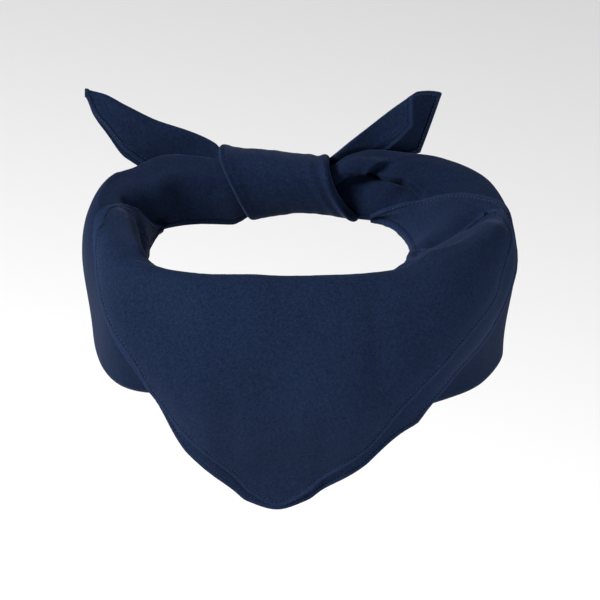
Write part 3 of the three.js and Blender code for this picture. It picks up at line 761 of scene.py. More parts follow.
@dataclass(frozen=True)
class SoftWaves:
    """Low waves over the whole cloth: their heights and lengths in millimetres, and the run of the form."""

    girth: float = 1.3
    reach: float = 55.0
    broad: float = 0.35
    broad_lengths: tuple[float, float, float] = (17.0, 19.0, 15.0)
    narrow: float = 0.22
    narrow_lengths: tuple[float, float, float, float] = (9.1, 13.0, 23.0, 41.0)
    at_knot: float = 0.45
    knot_turns: tuple[float, float] = (100.0, 150.0)
    knot_waves: float = 13.0

    def scale(self) -> Values:
        """Millimetres of cloth in a degree of turn and in one place across."""
        return np.array([math.pi * WORN.opening_width / 360 * self.girth, self.reach])

    def height(self, turn: Values, across: Values) -> Values:
        """How high the waves stand at turns in degrees and places across.

        Args:
            turn: Turns in degrees.
            across: Places across, in the same shape.

        Returns:
            Heights in millimetres.
        """
        degree, reach = self.scale()
        x, y = turn * degree, across * reach
        a, b, c = self.broad_lengths
        height = self.broad * np.sin(x / a + 0.6 * np.sin(y / b)) * np.sin(y / c + 0.9)
        a, b, c, d = self.narrow_lengths
        height += self.narrow * np.sin(x / a - y / b + 1.7) * np.sin(y / c + x / d)
        to_knot = smooth_step(np.abs(turn), *self.knot_turns)
        into_knot = np.sin(across * self.knot_waves + 0.8 * np.sin(turn / 11.0))
        return height + self.at_knot * to_knot * into_knot


WAVES = SoftWaves()


def wrinkles(turn: Values, across: Values) -> Values:
    """Soft unevenness that all the layers share, in millimetres along the way out.

    Args:
        turn: Turns in degrees.
        across: Places across.

    Returns:
        How far the cloth stands off the worn form.
    """
    height = WAVES.height(turn, across)
    scale = WAVES.scale()
    place = np.stack([turn, across], -1) * scale
    for fold in FOLDS:
        height += fold.lift(place, scale)
    return height


@dataclass
class Knot:
    """The turn of cloth round the knot, with lips that roll in towards the cloth that it holds."""

    width: float = 56.0
    height: float = 38.0
    depth: float = 29.0
    centre_x: float = -6.0
    centre_z: float = 6.0
    slant: float = 17.0
    squareness: float = 2.6
    roll_in_knot: float = 5.0
    lip: float = 1.5
    right_hollow: float = 2.4
    hug: float = 0.8
    small_folds: float = 0.1
    broad_folds: float = 0.28
    end_rise: float = 0.4
    end_dip: float = 0.45
    lip_turn: float = 0.85
    lip_rows: int = 14
    rows: int = 90
    columns: int = 180

    SECTIONS = Table(
        ("along", "grow", "top", "bottom"),
        (
            (0.0, 1.05, 1.0, -1.12),
            (0.2, 1.0, 0.94, -1.07),
            (0.5, 0.97, 0.84, -0.94),
            (0.8, 1.0, 0.745, -1.03),
            (1.0, 1.05, 0.68, -1.17),
        ),
    )

    @property
    def centre_y(self) -> float:
        """Where the knot's middle lies behind the opening."""
        return WORN.opening_depth / 2 + self.roll_in_knot

    def grid(self) -> ClothGrid:
        """The knot's middle surface, a ring of points for each place along it.

        Returns:
            The middle surface.
        """
        lip_turns = np.linspace(np.pi * self.lip_turn, 0, self.lip_rows)
        inner = np.linspace(0, 1, self.rows)
        along = np.concatenate([np.zeros(self.lip_rows), inner[1:-1], np.ones(self.lip_rows)])
        roll = np.concatenate([lip_turns, np.zeros(self.rows - 2), lip_turns[::-1]])
        side = np.where(along < 0.5, -1.0, 1.0)
        angle = -np.arange(self.columns) / self.columns * 2 * np.pi
        s, a = np.meshgrid(along, angle, indexing="ij")
        wall = CLOTH.thickness / 2 + self.lip * (1 - np.cos(roll))[:, None] + 0 * a
        power = 2 / self.squareness
        y = np.sign(np.cos(a)) * np.abs(np.cos(a)) ** power
        z = np.sign(np.sin(a)) * np.abs(np.sin(a)) ** power
        top = self.SECTIONS.read("top", s) * self.height / 2 - wall
        bottom = self.SECTIONS.read("bottom", s) * self.height / 2 + wall
        half_depth = self.depth / 2 * self.SECTIONS.read("grow", s) - wall
        x = self.centre_x + self.width * (s - 0.5) - self.slant / 2 * z
        x = x + (side * self.lip * np.sin(roll))[:, None]
        x = x - self.right_hollow * smooth_step(s, 0.55, 1.0) * (1 - z**2)
        height = self.centre_z + (top + bottom) / 2 + (top - bottom) / 2 * z
        points = np.stack([x, self.centre_y + half_depth * y, height], -1)
        return ClothGrid(points, self._folds(s, a), closed=True, hemmed=False)

    def _folds(self, along: Values, angle: Values) -> Values:
        """Soft folds that run round the knot, and its ends drawn in to the cloth that it holds.

        Args:
            along: Places along the knot, from 0 to 1.
            angle: Angles round it.

        Returns:
            Heights in millimetres.
        """
        drawn = 0.35 + 0.65 * np.abs(np.sin(angle)) ** 2
        wave = np.sin(along * 31 + 1.5 * np.sin(angle * 2)) + 0.6 * np.sin(along * 53 + 2.0 + angle)
        inside = smooth_step(along, 0.02, 0.15) * (1 - smooth_step(along, 0.85, 0.98))
        broad = self.broad_folds * np.sin(along * 9.0 + 0.8 * np.sin(angle))
        beside = self.end_rise * bump_at(along, 0.93, 0.04) - self.end_dip * bump_at(along, 0.84, 0.05)
        ends = 1 - smooth_step(along, 0.0, 0.1) + smooth_step(along, 0.93, 1.0)
        return (self.small_folds * wave * drawn + broad) * inside + beside - self.hug * ends


@dataclass
class LeftEnd:
    """The left free end: a leaf of cloth folded along its upper edge."""

    length: float = 90.0
    width: float = 34.0
    rise: float = 33.0
    root_up: float = 18.5
    back: float = 12.0
    puff: float = 3.0
    near_puff: float = 0.3
    layer_gap: float = 2.0
    fold_curl: float = 0.2
    puff_place: float = 0.8
    seat: float = 3.8
    in_knot: float = 4.0
    knot_clearance: float = 0.5
    knot_wall: float = 1.8
    fall: float = 1.5
    rows: int = 90
    columns: int = 90
    girth: float = 1.6
    fan_folds: float = 0.32
    cross_folds: float = 0.3

    def opening(self, from_fold: Values, puff: Values) -> Values:
        """How far a layer of the leaf stands off its middle.

        Args:
            from_fold: Places from the fold, at 0, to the edge, at 1.
            puff: How far the layer puffs out.

        Returns:
            Distances in millimetres.
        """
        roundness = np.minimum(1, from_fold / self.fold_curl)
        swell = puff * np.sin(np.pi * from_fold * self.puff_place)
        return self.layer_gap / 2 * np.sqrt(1 - (1 - roundness) ** 2) + swell

    def depth(self, across: Values, puff: Values) -> Values:
        """How far back the cloth lies across the leaf, the near layer flatter than the far one.

        Args:
            across: Places across, with the fold at 0.5.
            puff: How far the far layer puffs out.

        Returns:
            Distances in millimetres.
        """
        from_fold = np.abs(1 - 2 * across)
        near = -self.opening(from_fold, self.near_puff * puff)
        return np.where(across > 0.5, self.opening(from_fold, puff), near)

    def root_y(self, knot: Knot) -> float:
        """How far back the leaf starts inside the knot."""
        return knot.centre_y + knot.depth / 2 - self.knot_wall - self.seat

    def steps(self) -> tuple[Values, Values]:
        """Places along and across the leaf, for each point of its grid.

        Returns:
            The places along and the places across.
        """
        along = ended_steps(0, 1, self.rows, self.length)
        across = ended_steps(0, 1, self.columns, self.width * self.girth)
        s, c = np.meshgrid(along, across, indexing="ij")
        return s, c

    def folds(self, along: Values, across: Values) -> Values:
        """Soft folds that fan out from the knot.

        Args:
            along: Places along the leaf.
            across: Places across it.

        Returns:
            Heights in millimetres.
        """
        fan = self.fan_folds * np.sin(across * 17.0 + 1.2 * np.sin(along * 4.0))
        cross = self.cross_folds * np.sin(along * 9.0 + across * 5.0)
        return (fan + cross) * smooth_step(along, 0.12, 0.4)

    def grid(self, knot: Knot) -> ClothGrid:
        """The leaf's middle surface from inside the knot to its tip.

        Args:
            knot: The knot that it leaves.

        Returns:
            The middle surface.
        """
        s, c = self.steps()
        root_x = knot.centre_x - knot.width / 2 + self.knot_clearance + self.in_knot
        width = np.where(c > 0.5, LEFT_END.read("far", s), LEFT_END.read("near", s)) * self.width
        fold = np.abs(1 - 2 * c) ** self.fall
        y = self.root_y(knot) + self.back * LEFT_END.read("back", s)
        y = y + self.depth(c, LEFT_END.read("puff", s) * self.puff)
        z = self.root_up + self.rise * LEFT_END.read("top", s) - width * fold
        points = np.stack([root_x - self.length * s, y, z], -1)
        return ClothGrid(points, self.folds(s, c))


@dataclass
class RightEnd(LeftEnd):
    """The right free end: a leaf folded along its upper edge that widens to an open mouth."""

    length: float = 71.0
    width: float = 36.0
    in_knot: float = 14.0
    leave: float = 0.08
    freed: float = 0.65
    root_down: float = 9.8
    root_width: float = 13.0
    mouth_down: float = 1.5
    mouth_puff: float = 6.0
    columns: int = 110
    girth: float = 1.8

    def grid(self, knot: Knot) -> ClothGrid:
        """The leaf's middle surface from inside the knot to its mouth.

        Args:
            knot: The knot that it leaves.

        Returns:
            The middle surface.
        """
        s, c = self.steps()
        root_x = knot.centre_x + knot.width / 2 - self.knot_clearance - self.in_knot
        right = RIGHT_MOUTH.read("right", c) * self.length
        out = right * s / self.length
        y = self.root_y(knot) + self.back * smooth_step(out, self.leave, self.freed)
        y = y + self.depth(c, self.mouth_puff * s * s)
        root = self.root_up - self.root_down - self.root_width * np.abs(1 - 2 * c)
        mouth = self.root_up + self.rise - self.mouth_down + RIGHT_MOUTH.read("up", c) * self.width
        points = np.stack([root_x + right * s, y, root * (1 - s) + mouth * s], -1)
        return ClothGrid(points, self.folds(s, c))


@dataclass(frozen=True)
class Seam:
    """A line of stitches: its points and the way out of the cloth at each, in millimetres."""

    points: Values
    facing: Values


def seam_on(grid: ClothGrid, rows: int | slice, columns: int | slice) -> Seam:
    """The seam that follows part of one row or one column of a piece's outer face."""
    top, _ = grid.faces()
    return Seam(top[rows, columns], grid.normal[rows, columns])


def joined(seams: Sequence[Seam]) -> Seam:
    """Several seams as one line, in the order given."""
    return Seam(np.concatenate([s.points for s in seams]), np.concatenate([s.facing for s in seams]))


@dataclass
class StitchRow:
    """Stitches laid at an even pitch along a seam by a Geometry Nodes tree."""

    INPUTS: ClassVar[tuple[str, ...]] = ("Pitch", "Length", "Width")

    pitch: float = CLOTH.stitch_pitch
    length: float = CLOTH.stitch_length
    width: float = CLOTH.stitch_width

    def lay(self, name: str, seams: Sequence[Seam], finish: bpy.types.Material) -> bpy.types.Object:
        """Lays the stitches.

        Args:
            name: The piece's name.
            seams: The lines to follow.
            finish: The thread's material.

        Returns:
            The stitches as a plain mesh.
        """
        guide = self._guide(name + "_guide", seams)
        tree = self._tree(finish)
        modifier = guide.modifiers.new("stitches", "NODES")
        modifier.node_group = tree
        for item in tree.interface.items_tree:
            if item.item_type == "SOCKET" and item.in_out == "INPUT" and item.name in self.INPUTS:
                modifier[item.identifier] = getattr(self, item.name.lower()) * MM
        bpy.context.view_layer.update()
        evaluated = guide.evaluated_get(bpy.context.evaluated_depsgraph_get())
        mesh = bpy.data.meshes.new_from_object(evaluated)
        mesh.name = name
        guide.modifiers.remove(modifier)
        bpy.data.objects.remove(guide)
        mesh.shade_smooth()
        return in_scene(name, mesh)

    @staticmethod
    def _guide(name: str, seams: Sequence[Seam]) -> bpy.types.Object:
        """A mesh of edges along the seams that carries the way out of the cloth at each point.

        Args:
            name: The object's name.
            seams: The lines to follow.

        Returns:
            The object that the stitches are laid on.
        """
        points, facing, edges = [], [], []
        for seam in seams:
            start = len(points)
            points += [tuple(p) for p in seam.points * MM]
            facing += [tuple(f) for f in seam.facing]
            edges += [(start + i, start + i + 1) for i in range(len(seam.points) - 1)]
        mesh = bpy.data.meshes.new(name)
        mesh.from_pydata(points, edges, [])
        kept = mesh.attributes.new("facing", "FLOAT_VECTOR", "POINT")
        kept.data.foreach_set("vector", np.array(facing, np.float32).ravel())
        return in_scene(name, mesh)

    @staticmethod
    def _tree(finish: bpy.types.Material) -> bpy.types.NodeTree:
        """The tree that places a stitch at each step along a curve and turns it into the seam.

        Args:
            finish: The thread's material.

        Returns:
            The tree, with the stitches' sizes as named inputs.
        """
        tree = bpy.data.node_groups.new("stitch_row", "GeometryNodeTree")
        face = tree.interface
        face.new_socket("Geometry", in_out="INPUT", socket_type="NodeSocketGeometry")
        for title in StitchRow.INPUTS:
            face.new_socket(title, in_out="INPUT", socket_type="NodeSocketFloat")
        face.new_socket("Geometry", in_out="OUTPUT", socket_type="NodeSocketGeometry")
        maker = NodeMaker(tree)
        given = maker.node("NodeGroupInput")
        curve = maker.node("GeometryNodeMeshToCurve", inputs={"Mesh": given.outputs["Geometry"]})
        steps = maker.node(
            "GeometryNodeResampleCurve",
            {"mode": "LENGTH"},
            {"Curve": curve.outputs["Curve"], "Length": given.outputs["Pitch"]},
        )
        tangent = maker.node("GeometryNodeInputTangent")
        facing = maker.node(
            "GeometryNodeInputNamedAttribute", {"data_type": "FLOAT_VECTOR"}, {"Name": "facing"}
        )
        along = maker.node(
            "FunctionNodeAlignRotationToVector", {"axis": "X"}, {"Vector": tangent.outputs["Tangent"]}
        )
        upright = maker.node(
            "FunctionNodeAlignRotationToVector",
            {"axis": "Z", "pivot_axis": "X"},
            {"Rotation": along.outputs["Rotation"], "Vector": facing.outputs["Attribute"]},
        )
        bead = maker.node("GeometryNodeMeshUVSphere", inputs={"Segments": 8, "Rings": 5, "Radius": 0.5})
        size = maker.node(
            "ShaderNodeCombineXYZ",
            inputs={"X": given.outputs["Length"], "Y": given.outputs["Width"], "Z": given.outputs["Width"]},
        )
        placed = maker.node(
            "GeometryNodeInstanceOnPoints",
            inputs={
                "Points": steps.outputs["Curve"],
                "Instance": bead.outputs["Mesh"],
                "Rotation": upright.outputs["Rotation"],
                "Scale": size.outputs["Vector"],
            },
        )
        real = maker.node("GeometryNodeRealizeInstances", inputs={"Geometry": placed.outputs["Instances"]})
        dressed = maker.node(
            "GeometryNodeSetMaterial", inputs={"Geometry": real.outputs["Geometry"], "Material": finish}
        )
        maker.node("NodeGroupOutput", inputs={"Geometry": dressed.outputs["Geometry"]})
        return tree


class NodeMaker:
    """Adds nodes to a tree: their settings first, then the values or links of their inputs."""

    def __init__(self, tree: bpy.types.NodeTree) -> None:
        """Keeps the tree."""
        self.tree = tree

    def node(self, kind: str, settings: dict | None = None, inputs: dict | None = None) -> bpy.types.Node:
        """Adds one node.

        Args:
            kind: The node's type.
            settings: Its properties, and a ramp's stops under "stops".
            inputs: Values, sockets or wrapped values, by input name or number.

        Returns:
            The node.
        """
        made = self.tree.nodes.new(kind)
        for name, value in (settings or {}).items():
            if name == "stops":
                self._stops(made.color_ramp, value)
            else:
                setattr(made, name, value)
        for name, value in (inputs or {}).items():
            self.feed(made.inputs[name], value)
        return made

    @classmethod
    def for_material(cls, name: str) -> tuple["NodeMaker", bpy.types.Material]:
        """Starts a material with no nodes.

        Args:
            name: The material's name.

        Returns:
            The maker of its nodes, and the material.
        """
        material = bpy.data.materials.new(name)
        material.use_nodes = True
        material.node_tree.nodes.clear()
        return cls(material.node_tree), material

    def shader(self, inputs: dict) -> None:
        """Adds the shader with its inputs, and the material's output."""
        made = self.node("ShaderNodeBsdfPrincipled", inputs=inputs)
        self.node("ShaderNodeOutputMaterial", inputs={"Surface": made.outputs["BSDF"]})

    def noise(self, place: bpy.types.NodeSocket, scale: float, detail: float) -> "Level":
        """Soft cloudy unevenness at one size."""
        given = {"Vector": place, "Scale": scale, "Detail": detail, "Roughness": 0.55}
        return Level(self, self.node("ShaderNodeTexNoise", inputs=given).outputs["Fac"])

    def feed(self, socket: bpy.types.NodeSocket, value: object) -> None:
        """Links or sets one input.

        Args:
            socket: The input.
            value: A plain value, a socket or a wrapped value.
        """
        if isinstance(value, Level):
            value = value.socket
        if isinstance(value, bpy.types.NodeSocket):
            self.tree.links.new(value, socket)
        else:
            socket.default_value = value

    @staticmethod
    def _stops(ramp: bpy.types.ColorRamp, stops: Sequence[tuple[float, Sequence[float]]]) -> None:
        """Sets a ramp's stops.

        Args:
            ramp: The ramp.
            stops: A place and a colour for each stop, in order.
        """
        while len(ramp.elements) < len(stops):
            ramp.elements.new(1.0)
        for element, (place, colour) in zip(ramp.elements, stops):
            element.position = place
            element.color = (*colour, 1.0)


class Level:
    """A number that varies over a surface, with ordinary arithmetic."""

    def __init__(self, maker: NodeMaker, socket: bpy.types.NodeSocket) -> None:
        """Wraps a socket."""
        self.maker = maker
        self.socket = socket

    def _maths(self, operation: str, *values: object) -> "Level":
        """Adds one Math node."""
        made = self.maker.node("ShaderNodeMath", {"operation": operation}, dict(enumerate(values)))
        return Level(self.maker, made.outputs[0])

    def __add__(self, other: object) -> "Level":
        """self + other."""
        return self._maths("ADD", self, other)

    __radd__ = __add__

    def __sub__(self, other: object) -> "Level":
        """self - other."""
        return self._maths("SUBTRACT", self, other)

    def __rsub__(self, other: object) -> "Level":
        """other - self."""
        return self._maths("SUBTRACT", other, self)

    def __mul__(self, other: object) -> "Level":
        """self * other."""
        return self._maths("MULTIPLY", self, other)

    __rmul__ = __mul__

    def __truediv__(self, other: object) -> "Level":
        """self / other."""
        return self._maths("DIVIDE", self, other)

    def __abs__(self) -> "Level":
        """The size without its sign."""
        return self._maths("ABSOLUTE", self)

    def sine(self) -> "Level":
        """The sine."""
        return self._maths("SINE", self)

    def at_most(self, other: object) -> "Level":
        """The smaller of the two."""
        return self._maths("MINIMUM", self, other)


class ClothShading(Enum):
    """Which colour a piece of cloth takes: its own, or a darker, less green copy with painted shade. The
    value names its material and its slot.
    """

    FACE = "cloth"
    # A darker, less green copy of the cloth's colour: painted shade, used on the two rolls.
    SHADE = "cloth_shade"


@dataclass(frozen=True)
class ClothFinish:
    """Matt navy plain weave."""

    weave: ClothShading
    dark: tuple[float, float, float]
    light: tuple[float, float, float]
    thread_pitch: float = 0.05
    roughness: float = 0.86
    specular: float = 0.035
    sheen: float = 0.08
    sheen_roughness: float = 0.42
    sheen_tint: tuple[float, float, float] = (0.42, 0.52, 0.85)
    relief: float = 0.00006
    broad_share: float = 0.5
    fine_share: float = 1.7
    slub_share: float = 0.9
    weave_share: float = 0.16
    # Painted shade in the seam's dip and a painted highlight on the hem's lip, as shares of the tone.
    seam_shade: float = 0.7
    hem_painted_highlight: float = 0.45

    def make(self) -> bpy.types.Material:
        """Makes the material.

        Returns:
            A cloth whose threads follow the piece's own thread coordinates.
        """
        maker, material = NodeMaker.for_material(self.weave.value)
        threads = maker.node("ShaderNodeUVMap", {"uv_map": "threads"}).outputs["UV"]
        split = maker.node("ShaderNodeSeparateXYZ", inputs={"Vector": threads})
        turns = math.pi / self.thread_pitch
        warp, weft = ((Level(maker, split.outputs[axis]) * turns).sine() for axis in "XY")
        over = warp * weft
        place = maker.node("ShaderNodeTexCoord").outputs["Object"]
        broad, fine = maker.noise(place, 22.0, 3.0), maker.noise(place, 800.0, 3.0)
        slub = self._slubs(maker, threads)
        tone = 0.5 + (broad - 0.5) * self.broad_share + (fine - 0.5) * self.fine_share
        tone = tone + (slub - 0.5) * self.slub_share + over * self.weave_share + self._hem(maker)
        stops = [(0.0, self.dark), (1.0, self.light)]
        ramp = maker.node("ShaderNodeValToRGB", {"stops": stops}, {"Fac": tone})
        height = over * 0.6 + slub * 0.5 + fine * 0.4
        relief = {"Height": height, "Distance": self.relief, "Strength": 0.8}
        bump = maker.node("ShaderNodeBump", inputs=relief)
        maker.shader({
            "Base Color": ramp.outputs["Color"],
            "Roughness": self.roughness,
            "Specular IOR Level": self.specular,
            "Sheen Weight": self.sheen,
            "Sheen Roughness": self.sheen_roughness,
            "Sheen Tint": (*self.sheen_tint, 1.0),
            "Normal": bump.outputs["Normal"],
        })
        return material

    def _hem(self, maker: NodeMaker) -> Level:
        """Painted shade in the seam's dip and a painted highlight on the hem's lip beside it.

        Args:
            maker: The maker of the material's nodes.

        Returns:
            What they add to the cloth's tone.
        """
        read = maker.node("ShaderNodeAttribute", {"attribute_name": "edge_distance"})
        edge = Level(maker, read.outputs["Fac"])
        inset = CLOTH.seam_inset
        # Painted shade along the seam's dip.
        seam = 1 - (abs(edge - inset) / 0.55).at_most(1.0)
        # Painted highlight on the hem's lip, where its rounded fold would catch the light.
        lip = 1 - (abs(edge - inset / 2) / inset * 1.6).at_most(1.0)
        return lip * self.hem_painted_highlight - seam * self.seam_shade

    @staticmethod
    def _slubs(maker: NodeMaker, threads: bpy.types.NodeSocket) -> Level:
        """Slightly thicker threads along both directions of the weave.

        Args:
            maker: The maker of the material's nodes.
            threads: The thread coordinates.

        Returns:
            The mean of both directions.
        """
        found = []
        for scale in ((11.0, 1.6, 1.0), (1.6, 11.0, 1.0)):
            stretched = maker.node("ShaderNodeMapping", inputs={"Vector": threads, "Scale": scale})
            found.append(maker.noise(stretched.outputs["Vector"], 1.0, 2.0))
        return (found[0] + found[1]) * 0.5


@dataclass(frozen=True)
class ThreadFinish:
    """Navy sewing thread, a little glossier than the cloth."""

    name: str = "seam_thread"
    colour: tuple[float, float, float] = (0.0068, 0.0136, 0.0360)
    roughness: float = 0.55
    specular: float = 0.35

    def make(self) -> bpy.types.Material:
        """Makes the material.

        Returns:
            The material.
        """
        maker, material = NodeMaker.for_material(self.name)
        twist = maker.noise(maker.node("ShaderNodeTexCoord").outputs["Object"], 900.0, 2.0)
        tones = ((0.2, 0.6), (0.8, 1.3))
        stops = [(place, tuple(share * part for part in self.colour)) for place, share in tones]
        tone = maker.node("ShaderNodeValToRGB", {"stops": stops}, {"Fac": twist})
        given = {"Roughness": self.roughness, "Specular IOR Level": self.specular}
        maker.shader({"Base Color": tone.outputs["Color"], **given})
        return material


@dataclass(frozen=True)
class PaintFinish:
    """A plain matt paint of one colour."""

    name: str
    colour: tuple[float, float, float]
    roughness: float = 0.95
    specular: float = 0.1

    def make(self) -> bpy.types.Material:
        """Makes the material.

        Returns:
            The material.
        """
        maker, material = NodeMaker.for_material(self.name)
        given = {"Roughness": self.roughness, "Specular IOR Level": self.specular}
        maker.shader({"Base Color": (*self.colour, 1.0), **given})
        return material


@dataclass(frozen=True)
class FlatCloth:
    """The flat size of a piece before it was folded, in metres, and what it lies on."""

    width: float
    length: float
    area: float
    rests_on: tuple[str, ...]
    held: str = "folded"


@dataclass(frozen=True)
class SewnCloth:
    """One piece before it is a mesh: its middle surface, its own cloth colour or the copy with painted
    shade, and its seams.
    """

    grid: ClothGrid
    weave: ClothShading
    seams: tuple[Seam, ...] = ()


@dataclass
class Neckerchief:
    """The tied neckerchief: two rolls, the two layers of the point, the knot and its free ends."""

    knot: Knot = field(default_factory=Knot)
    left_end: LeftEnd = field(default_factory=LeftEnd)
    right_end: RightEnd = field(default_factory=RightEnd)
    stitches: StitchRow = field(default_factory=StitchRow)
    band_end_share: float = 0.6
    left_share: float = 0.79
    right_share: float = 0.87
    band_taper: float = 45.0
    side_drop: float = 84.0
    fold_turn: float = 0.85
    band_rows: int = 190
    band_columns: int = 120
    band_packing: float = 0.45
    band_under: float = 3.0
    bib_rows: int = 230
    mm_per_degree: float = 1.9
    # The cloth's own colour, and a darker, less green copy of it that is painted shade on the two rolls.
    face: ClothFinish = ClothFinish(ClothShading.FACE, (0.0026, 0.0061, 0.0172), (0.0078, 0.0156, 0.0415))
    shade: ClothFinish = ClothFinish(ClothShading.SHADE, (0.0019, 0.0046, 0.0137), (0.0059, 0.0120, 0.0330))
    thread: ThreadFinish = ThreadFinish()

    FLAT: ClassVar[dict[str, FlatCloth]] = {
        "band_left": FlatCloth(0.15, 0.2, 0.0265, ("knot_wrap",)),
        "band_right": FlatCloth(0.16, 0.22, 0.0315, ("knot_wrap",)),
        "bib_under": FlatCloth(0.3, 0.2, 0.0348, ("band_left", "band_right")),
        "bib_outer": FlatCloth(0.28, 0.19, 0.031, ("bib_under",)),
        "knot_wrap": FlatCloth(0.06, 0.115, 0.0062, ("band_left", "band_right")),
        "tail_left": FlatCloth(0.09, 0.07, 0.0048, ("knot_wrap",)),
        "tail_right": FlatCloth(0.07, 0.08, 0.0034, ("knot_wrap",)),
    }

    def build(self) -> list[bpy.types.Object]:
        """Builds and dresses every piece.

        Returns:
            The pieces of cloth, in order.
        """
        finishes = {finish.weave: finish.make() for finish in (self.face, self.shade)}
        thread = self.thread.make()
        cloths = {
            "band_left": self._band("band_left", -167.0, -34.0),
            "band_right": self._band("band_right", 34.0, 166.0),
            "bib_under": self._bib("bib_under", Layer.UNDER, UNDER_COVER),
            "bib_outer": self._bib("bib_outer", Layer.OUTER, OUTER_COVER),
            "knot_wrap": SewnCloth(self.knot.grid(), ClothShading.FACE),
            "tail_left": self._end(self.left_end),
            "tail_right": self._end(self.right_end),
        }
        return [self._piece(name, cloth, finishes[cloth.weave], thread) for name, cloth in cloths.items()]

    def _band(self, name: str, first: float, last: float) -> SewnCloth:
        """One side's roll of folded cloth, between two turns.

        Args:
            name: The solid that it replaces.
            first: The lower turn in degrees.
            last: The higher turn.

        Returns:
            The roll.
        """
        front = first if abs(first) < abs(last) else last
        full = self.left_share if last < 0 else self.right_share

        def share(turn: Values) -> Values:
            """How much of the wall's drop the roll covers.

            Args:
                turn: Turns in degrees.

            Returns:
                Shares of the drop.
            """
            taper = np.minimum(1, np.abs(turn - front) / self.band_taper)
            grown = (full - self.band_end_share) * taper * (2 - taper)
            drop = self.side_drop * (self.band_end_share + grown)
            return np.minimum(1, (drop / FORM.read("tip_drop", turn)) ** (1 / WORN.crest_roundness))

        turns = ended_steps(first, last, self.band_rows, self.mm_per_degree)
        back = last if front == first else first
        to_back = (back - turns) / (back - front)
        turns = front + (turns - front) * (1 + self.band_packing * to_back)
        begin, end = -self.fold_turn, self.band_under
        ends = (lambda t: 0 * t + begin, lambda t: 0 * t + end)
        sheet = WornSheet(name, Layer.BAND, turns, *ends, share, self.band_columns)
        # The rolls take the copy of the cloth with painted shade.
        return SewnCloth(sheet.grid(), ClothShading.SHADE)

    def _bib(self, name: str, layer: Layer, cover: Table) -> SewnCloth:
        """One layer of the hanging point.

        Args:
            name: The solid that it replaces.
            layer: Which layer it is.
            cover: How much of the section it covers at each turn.

        Returns:
            The layer, with its seam.
        """

        def begin(turn: Values) -> Values:
            """Where the layer starts: rolled round the fold in front, further up the inner side behind."""
            start = cover.read("begin", turn)
            return start - self.fold_turn * (1 - smooth_step(start, 0.0, 0.14))

        turns = ended_steps(cover.place[0], cover.place[-1], self.bib_rows, self.mm_per_degree)
        sheet = WornSheet(name, layer, turns, begin, lambda t: cover.read("end", t), lambda t: 0 * t + 1.0)
        grid = sheet.grid()
        seam = seam_on(grid, WITHIN_HEMS, FAR_SEAM)
        if layer is Layer.OUTER:
            side = seam_on(grid, SEAM_STEP, slice(len(EDGE_STEPS), FAR_SEAM))
            seam = joined([side, seam])
        return SewnCloth(grid, ClothShading.FACE, (seam,))

    def _end(self, end: LeftEnd) -> SewnCloth:
        """A free end, with the seam along its lower edges and across its mouth.

        Args:
            end: The leaf's sizes.

        Returns:
            The free end.
        """
        grid = end.grid(self.knot)
        near = seam_on(grid, WITHIN_HEMS, SEAM_STEP)
        mouth = seam_on(grid, FAR_SEAM, WITHIN_HEMS)
        far = seam_on(grid, WITHIN_HEMS, FAR_SEAM)
        seam = joined([near, mouth, Seam(far.points[::-1], far.facing[::-1])])
        return SewnCloth(grid, ClothShading.FACE, (seam,))

    def _piece(
        self, name: str, cloth: SewnCloth, finish: bpy.types.Material, thread: bpy.types.Material
    ) -> bpy.types.Object:
        """Makes one piece of cloth with its stitches, hangs them from the root body and hides the solid
        that it replaces.

        Args:
            name: The solid that it replaces.
            cloth: What it is made from.
            finish: The cloth's material.
            thread: The stitches' material.

        Returns:
            The piece of cloth.
        """
        piece = cloth_object(name + "_cloth", cloth.grid)
        piece.data.materials.append(finish)
        if cloth.seams:
            sewn = self.stitches.lay(name + "_stitches", cloth.seams, thread)
            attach(sewn, "root")
        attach(piece, "root")
        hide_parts(name)
        LOG.info("%s: %d faces, %d seams", piece.name, len(piece.data.polygons), len(cloth.seams))
        return piece


@dataclass(frozen=True)
class SoftLight:
    """A square soft light that faces the neckerchief: its place and size in metres, its power in watts."""

    name: str
    place: tuple[float, float, float]
    size: float
    power: float

    def build(self) -> None:
        """Makes the light."""
        data = bpy.data.lights.new(self.name, "AREA")
        data.energy = self.power
        data.size = self.size
        light = in_scene(self.name, data)
        light.location = self.place
        light.rotation_euler = (-Vector(self.place)).to_track_quat("-Z", "Y").to_euler()


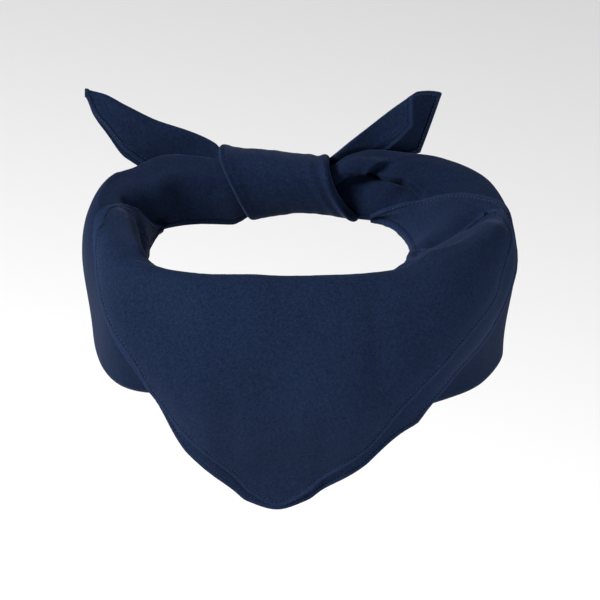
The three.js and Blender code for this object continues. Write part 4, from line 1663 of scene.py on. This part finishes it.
@dataclass
class Studio:
    """A pale floor, soft lights and the camera at the photograph's angle."""

    target: tuple[float, float, float] = (0.0, -14.5, -32.7)
    elevation: float = 24.0
    distance: float = 6.0
    framed: float = 0.33
    far_clip: float = 60.0
    floor_drop: float = 0.45
    floor_side: float = 14.0
    floor_finish: PaintFinish = PaintFinish("floor_paint", (0.92, 0.92, 0.92))
    air_light: float = 0.16
    lights: tuple[SoftLight, ...] = (
        SoftLight("key_left", (-1.85, -0.8, 1.25), 0.8, 116.0),
        SoftLight("top", (-0.2, 0.3, 1.9), 1.4, 9.0),
        SoftLight("fill_right", (1.7, -1.3, 0.0), 0.8, 38.0),
    )

    def build(self) -> None:
        """Makes the floor, the lights and the camera."""
        self._floor()
        for light in self.lights:
            light.build()
        world = bpy.data.worlds.new("studio_air")
        world.use_nodes = True
        background = world.node_tree.nodes["Background"]
        background.inputs["Color"].default_value = (1.0, 1.0, 1.0, 1.0)
        background.inputs["Strength"].default_value = self.air_light
        bpy.context.scene.world = world
        bpy.context.scene.view_settings.view_transform = "Standard"
        self._camera()
        LOG.info("studio: floor, lights and camera")

    def _floor(self) -> None:
        """The pale floor."""
        bpy.ops.mesh.primitive_plane_add(size=self.floor_side, location=(0.0, 0.0, -self.floor_drop))
        floor = bpy.context.object
        floor.name = "floor"
        floor.data.materials.append(self.floor_finish.make())

    def _camera(self) -> None:
        """The camera, far away with a long lens."""
        data = bpy.data.cameras.new("camera")
        data.lens = data.sensor_width * self.distance / self.framed
        data.clip_end = self.far_clip
        camera = in_scene("camera", data)
        up = math.radians(self.elevation)
        back = Vector((0.0, -math.cos(up), math.sin(up)))
        camera.location = Vector(self.target) * MM + back * self.distance
        camera.rotation_euler = (-back).to_track_quat("-Z", "Y").to_euler()
        bpy.context.scene.camera = camera


def main() -> None:
    """Builds the studio and the neckerchief."""
    logging.basicConfig(level=logging.INFO, format="%(name)s: %(message)s")
    Studio().build()
    pieces = Neckerchief().build()
    LOG.info("pieces of cloth: %d", len(pieces))


if __name__ == "__main__":
    main()
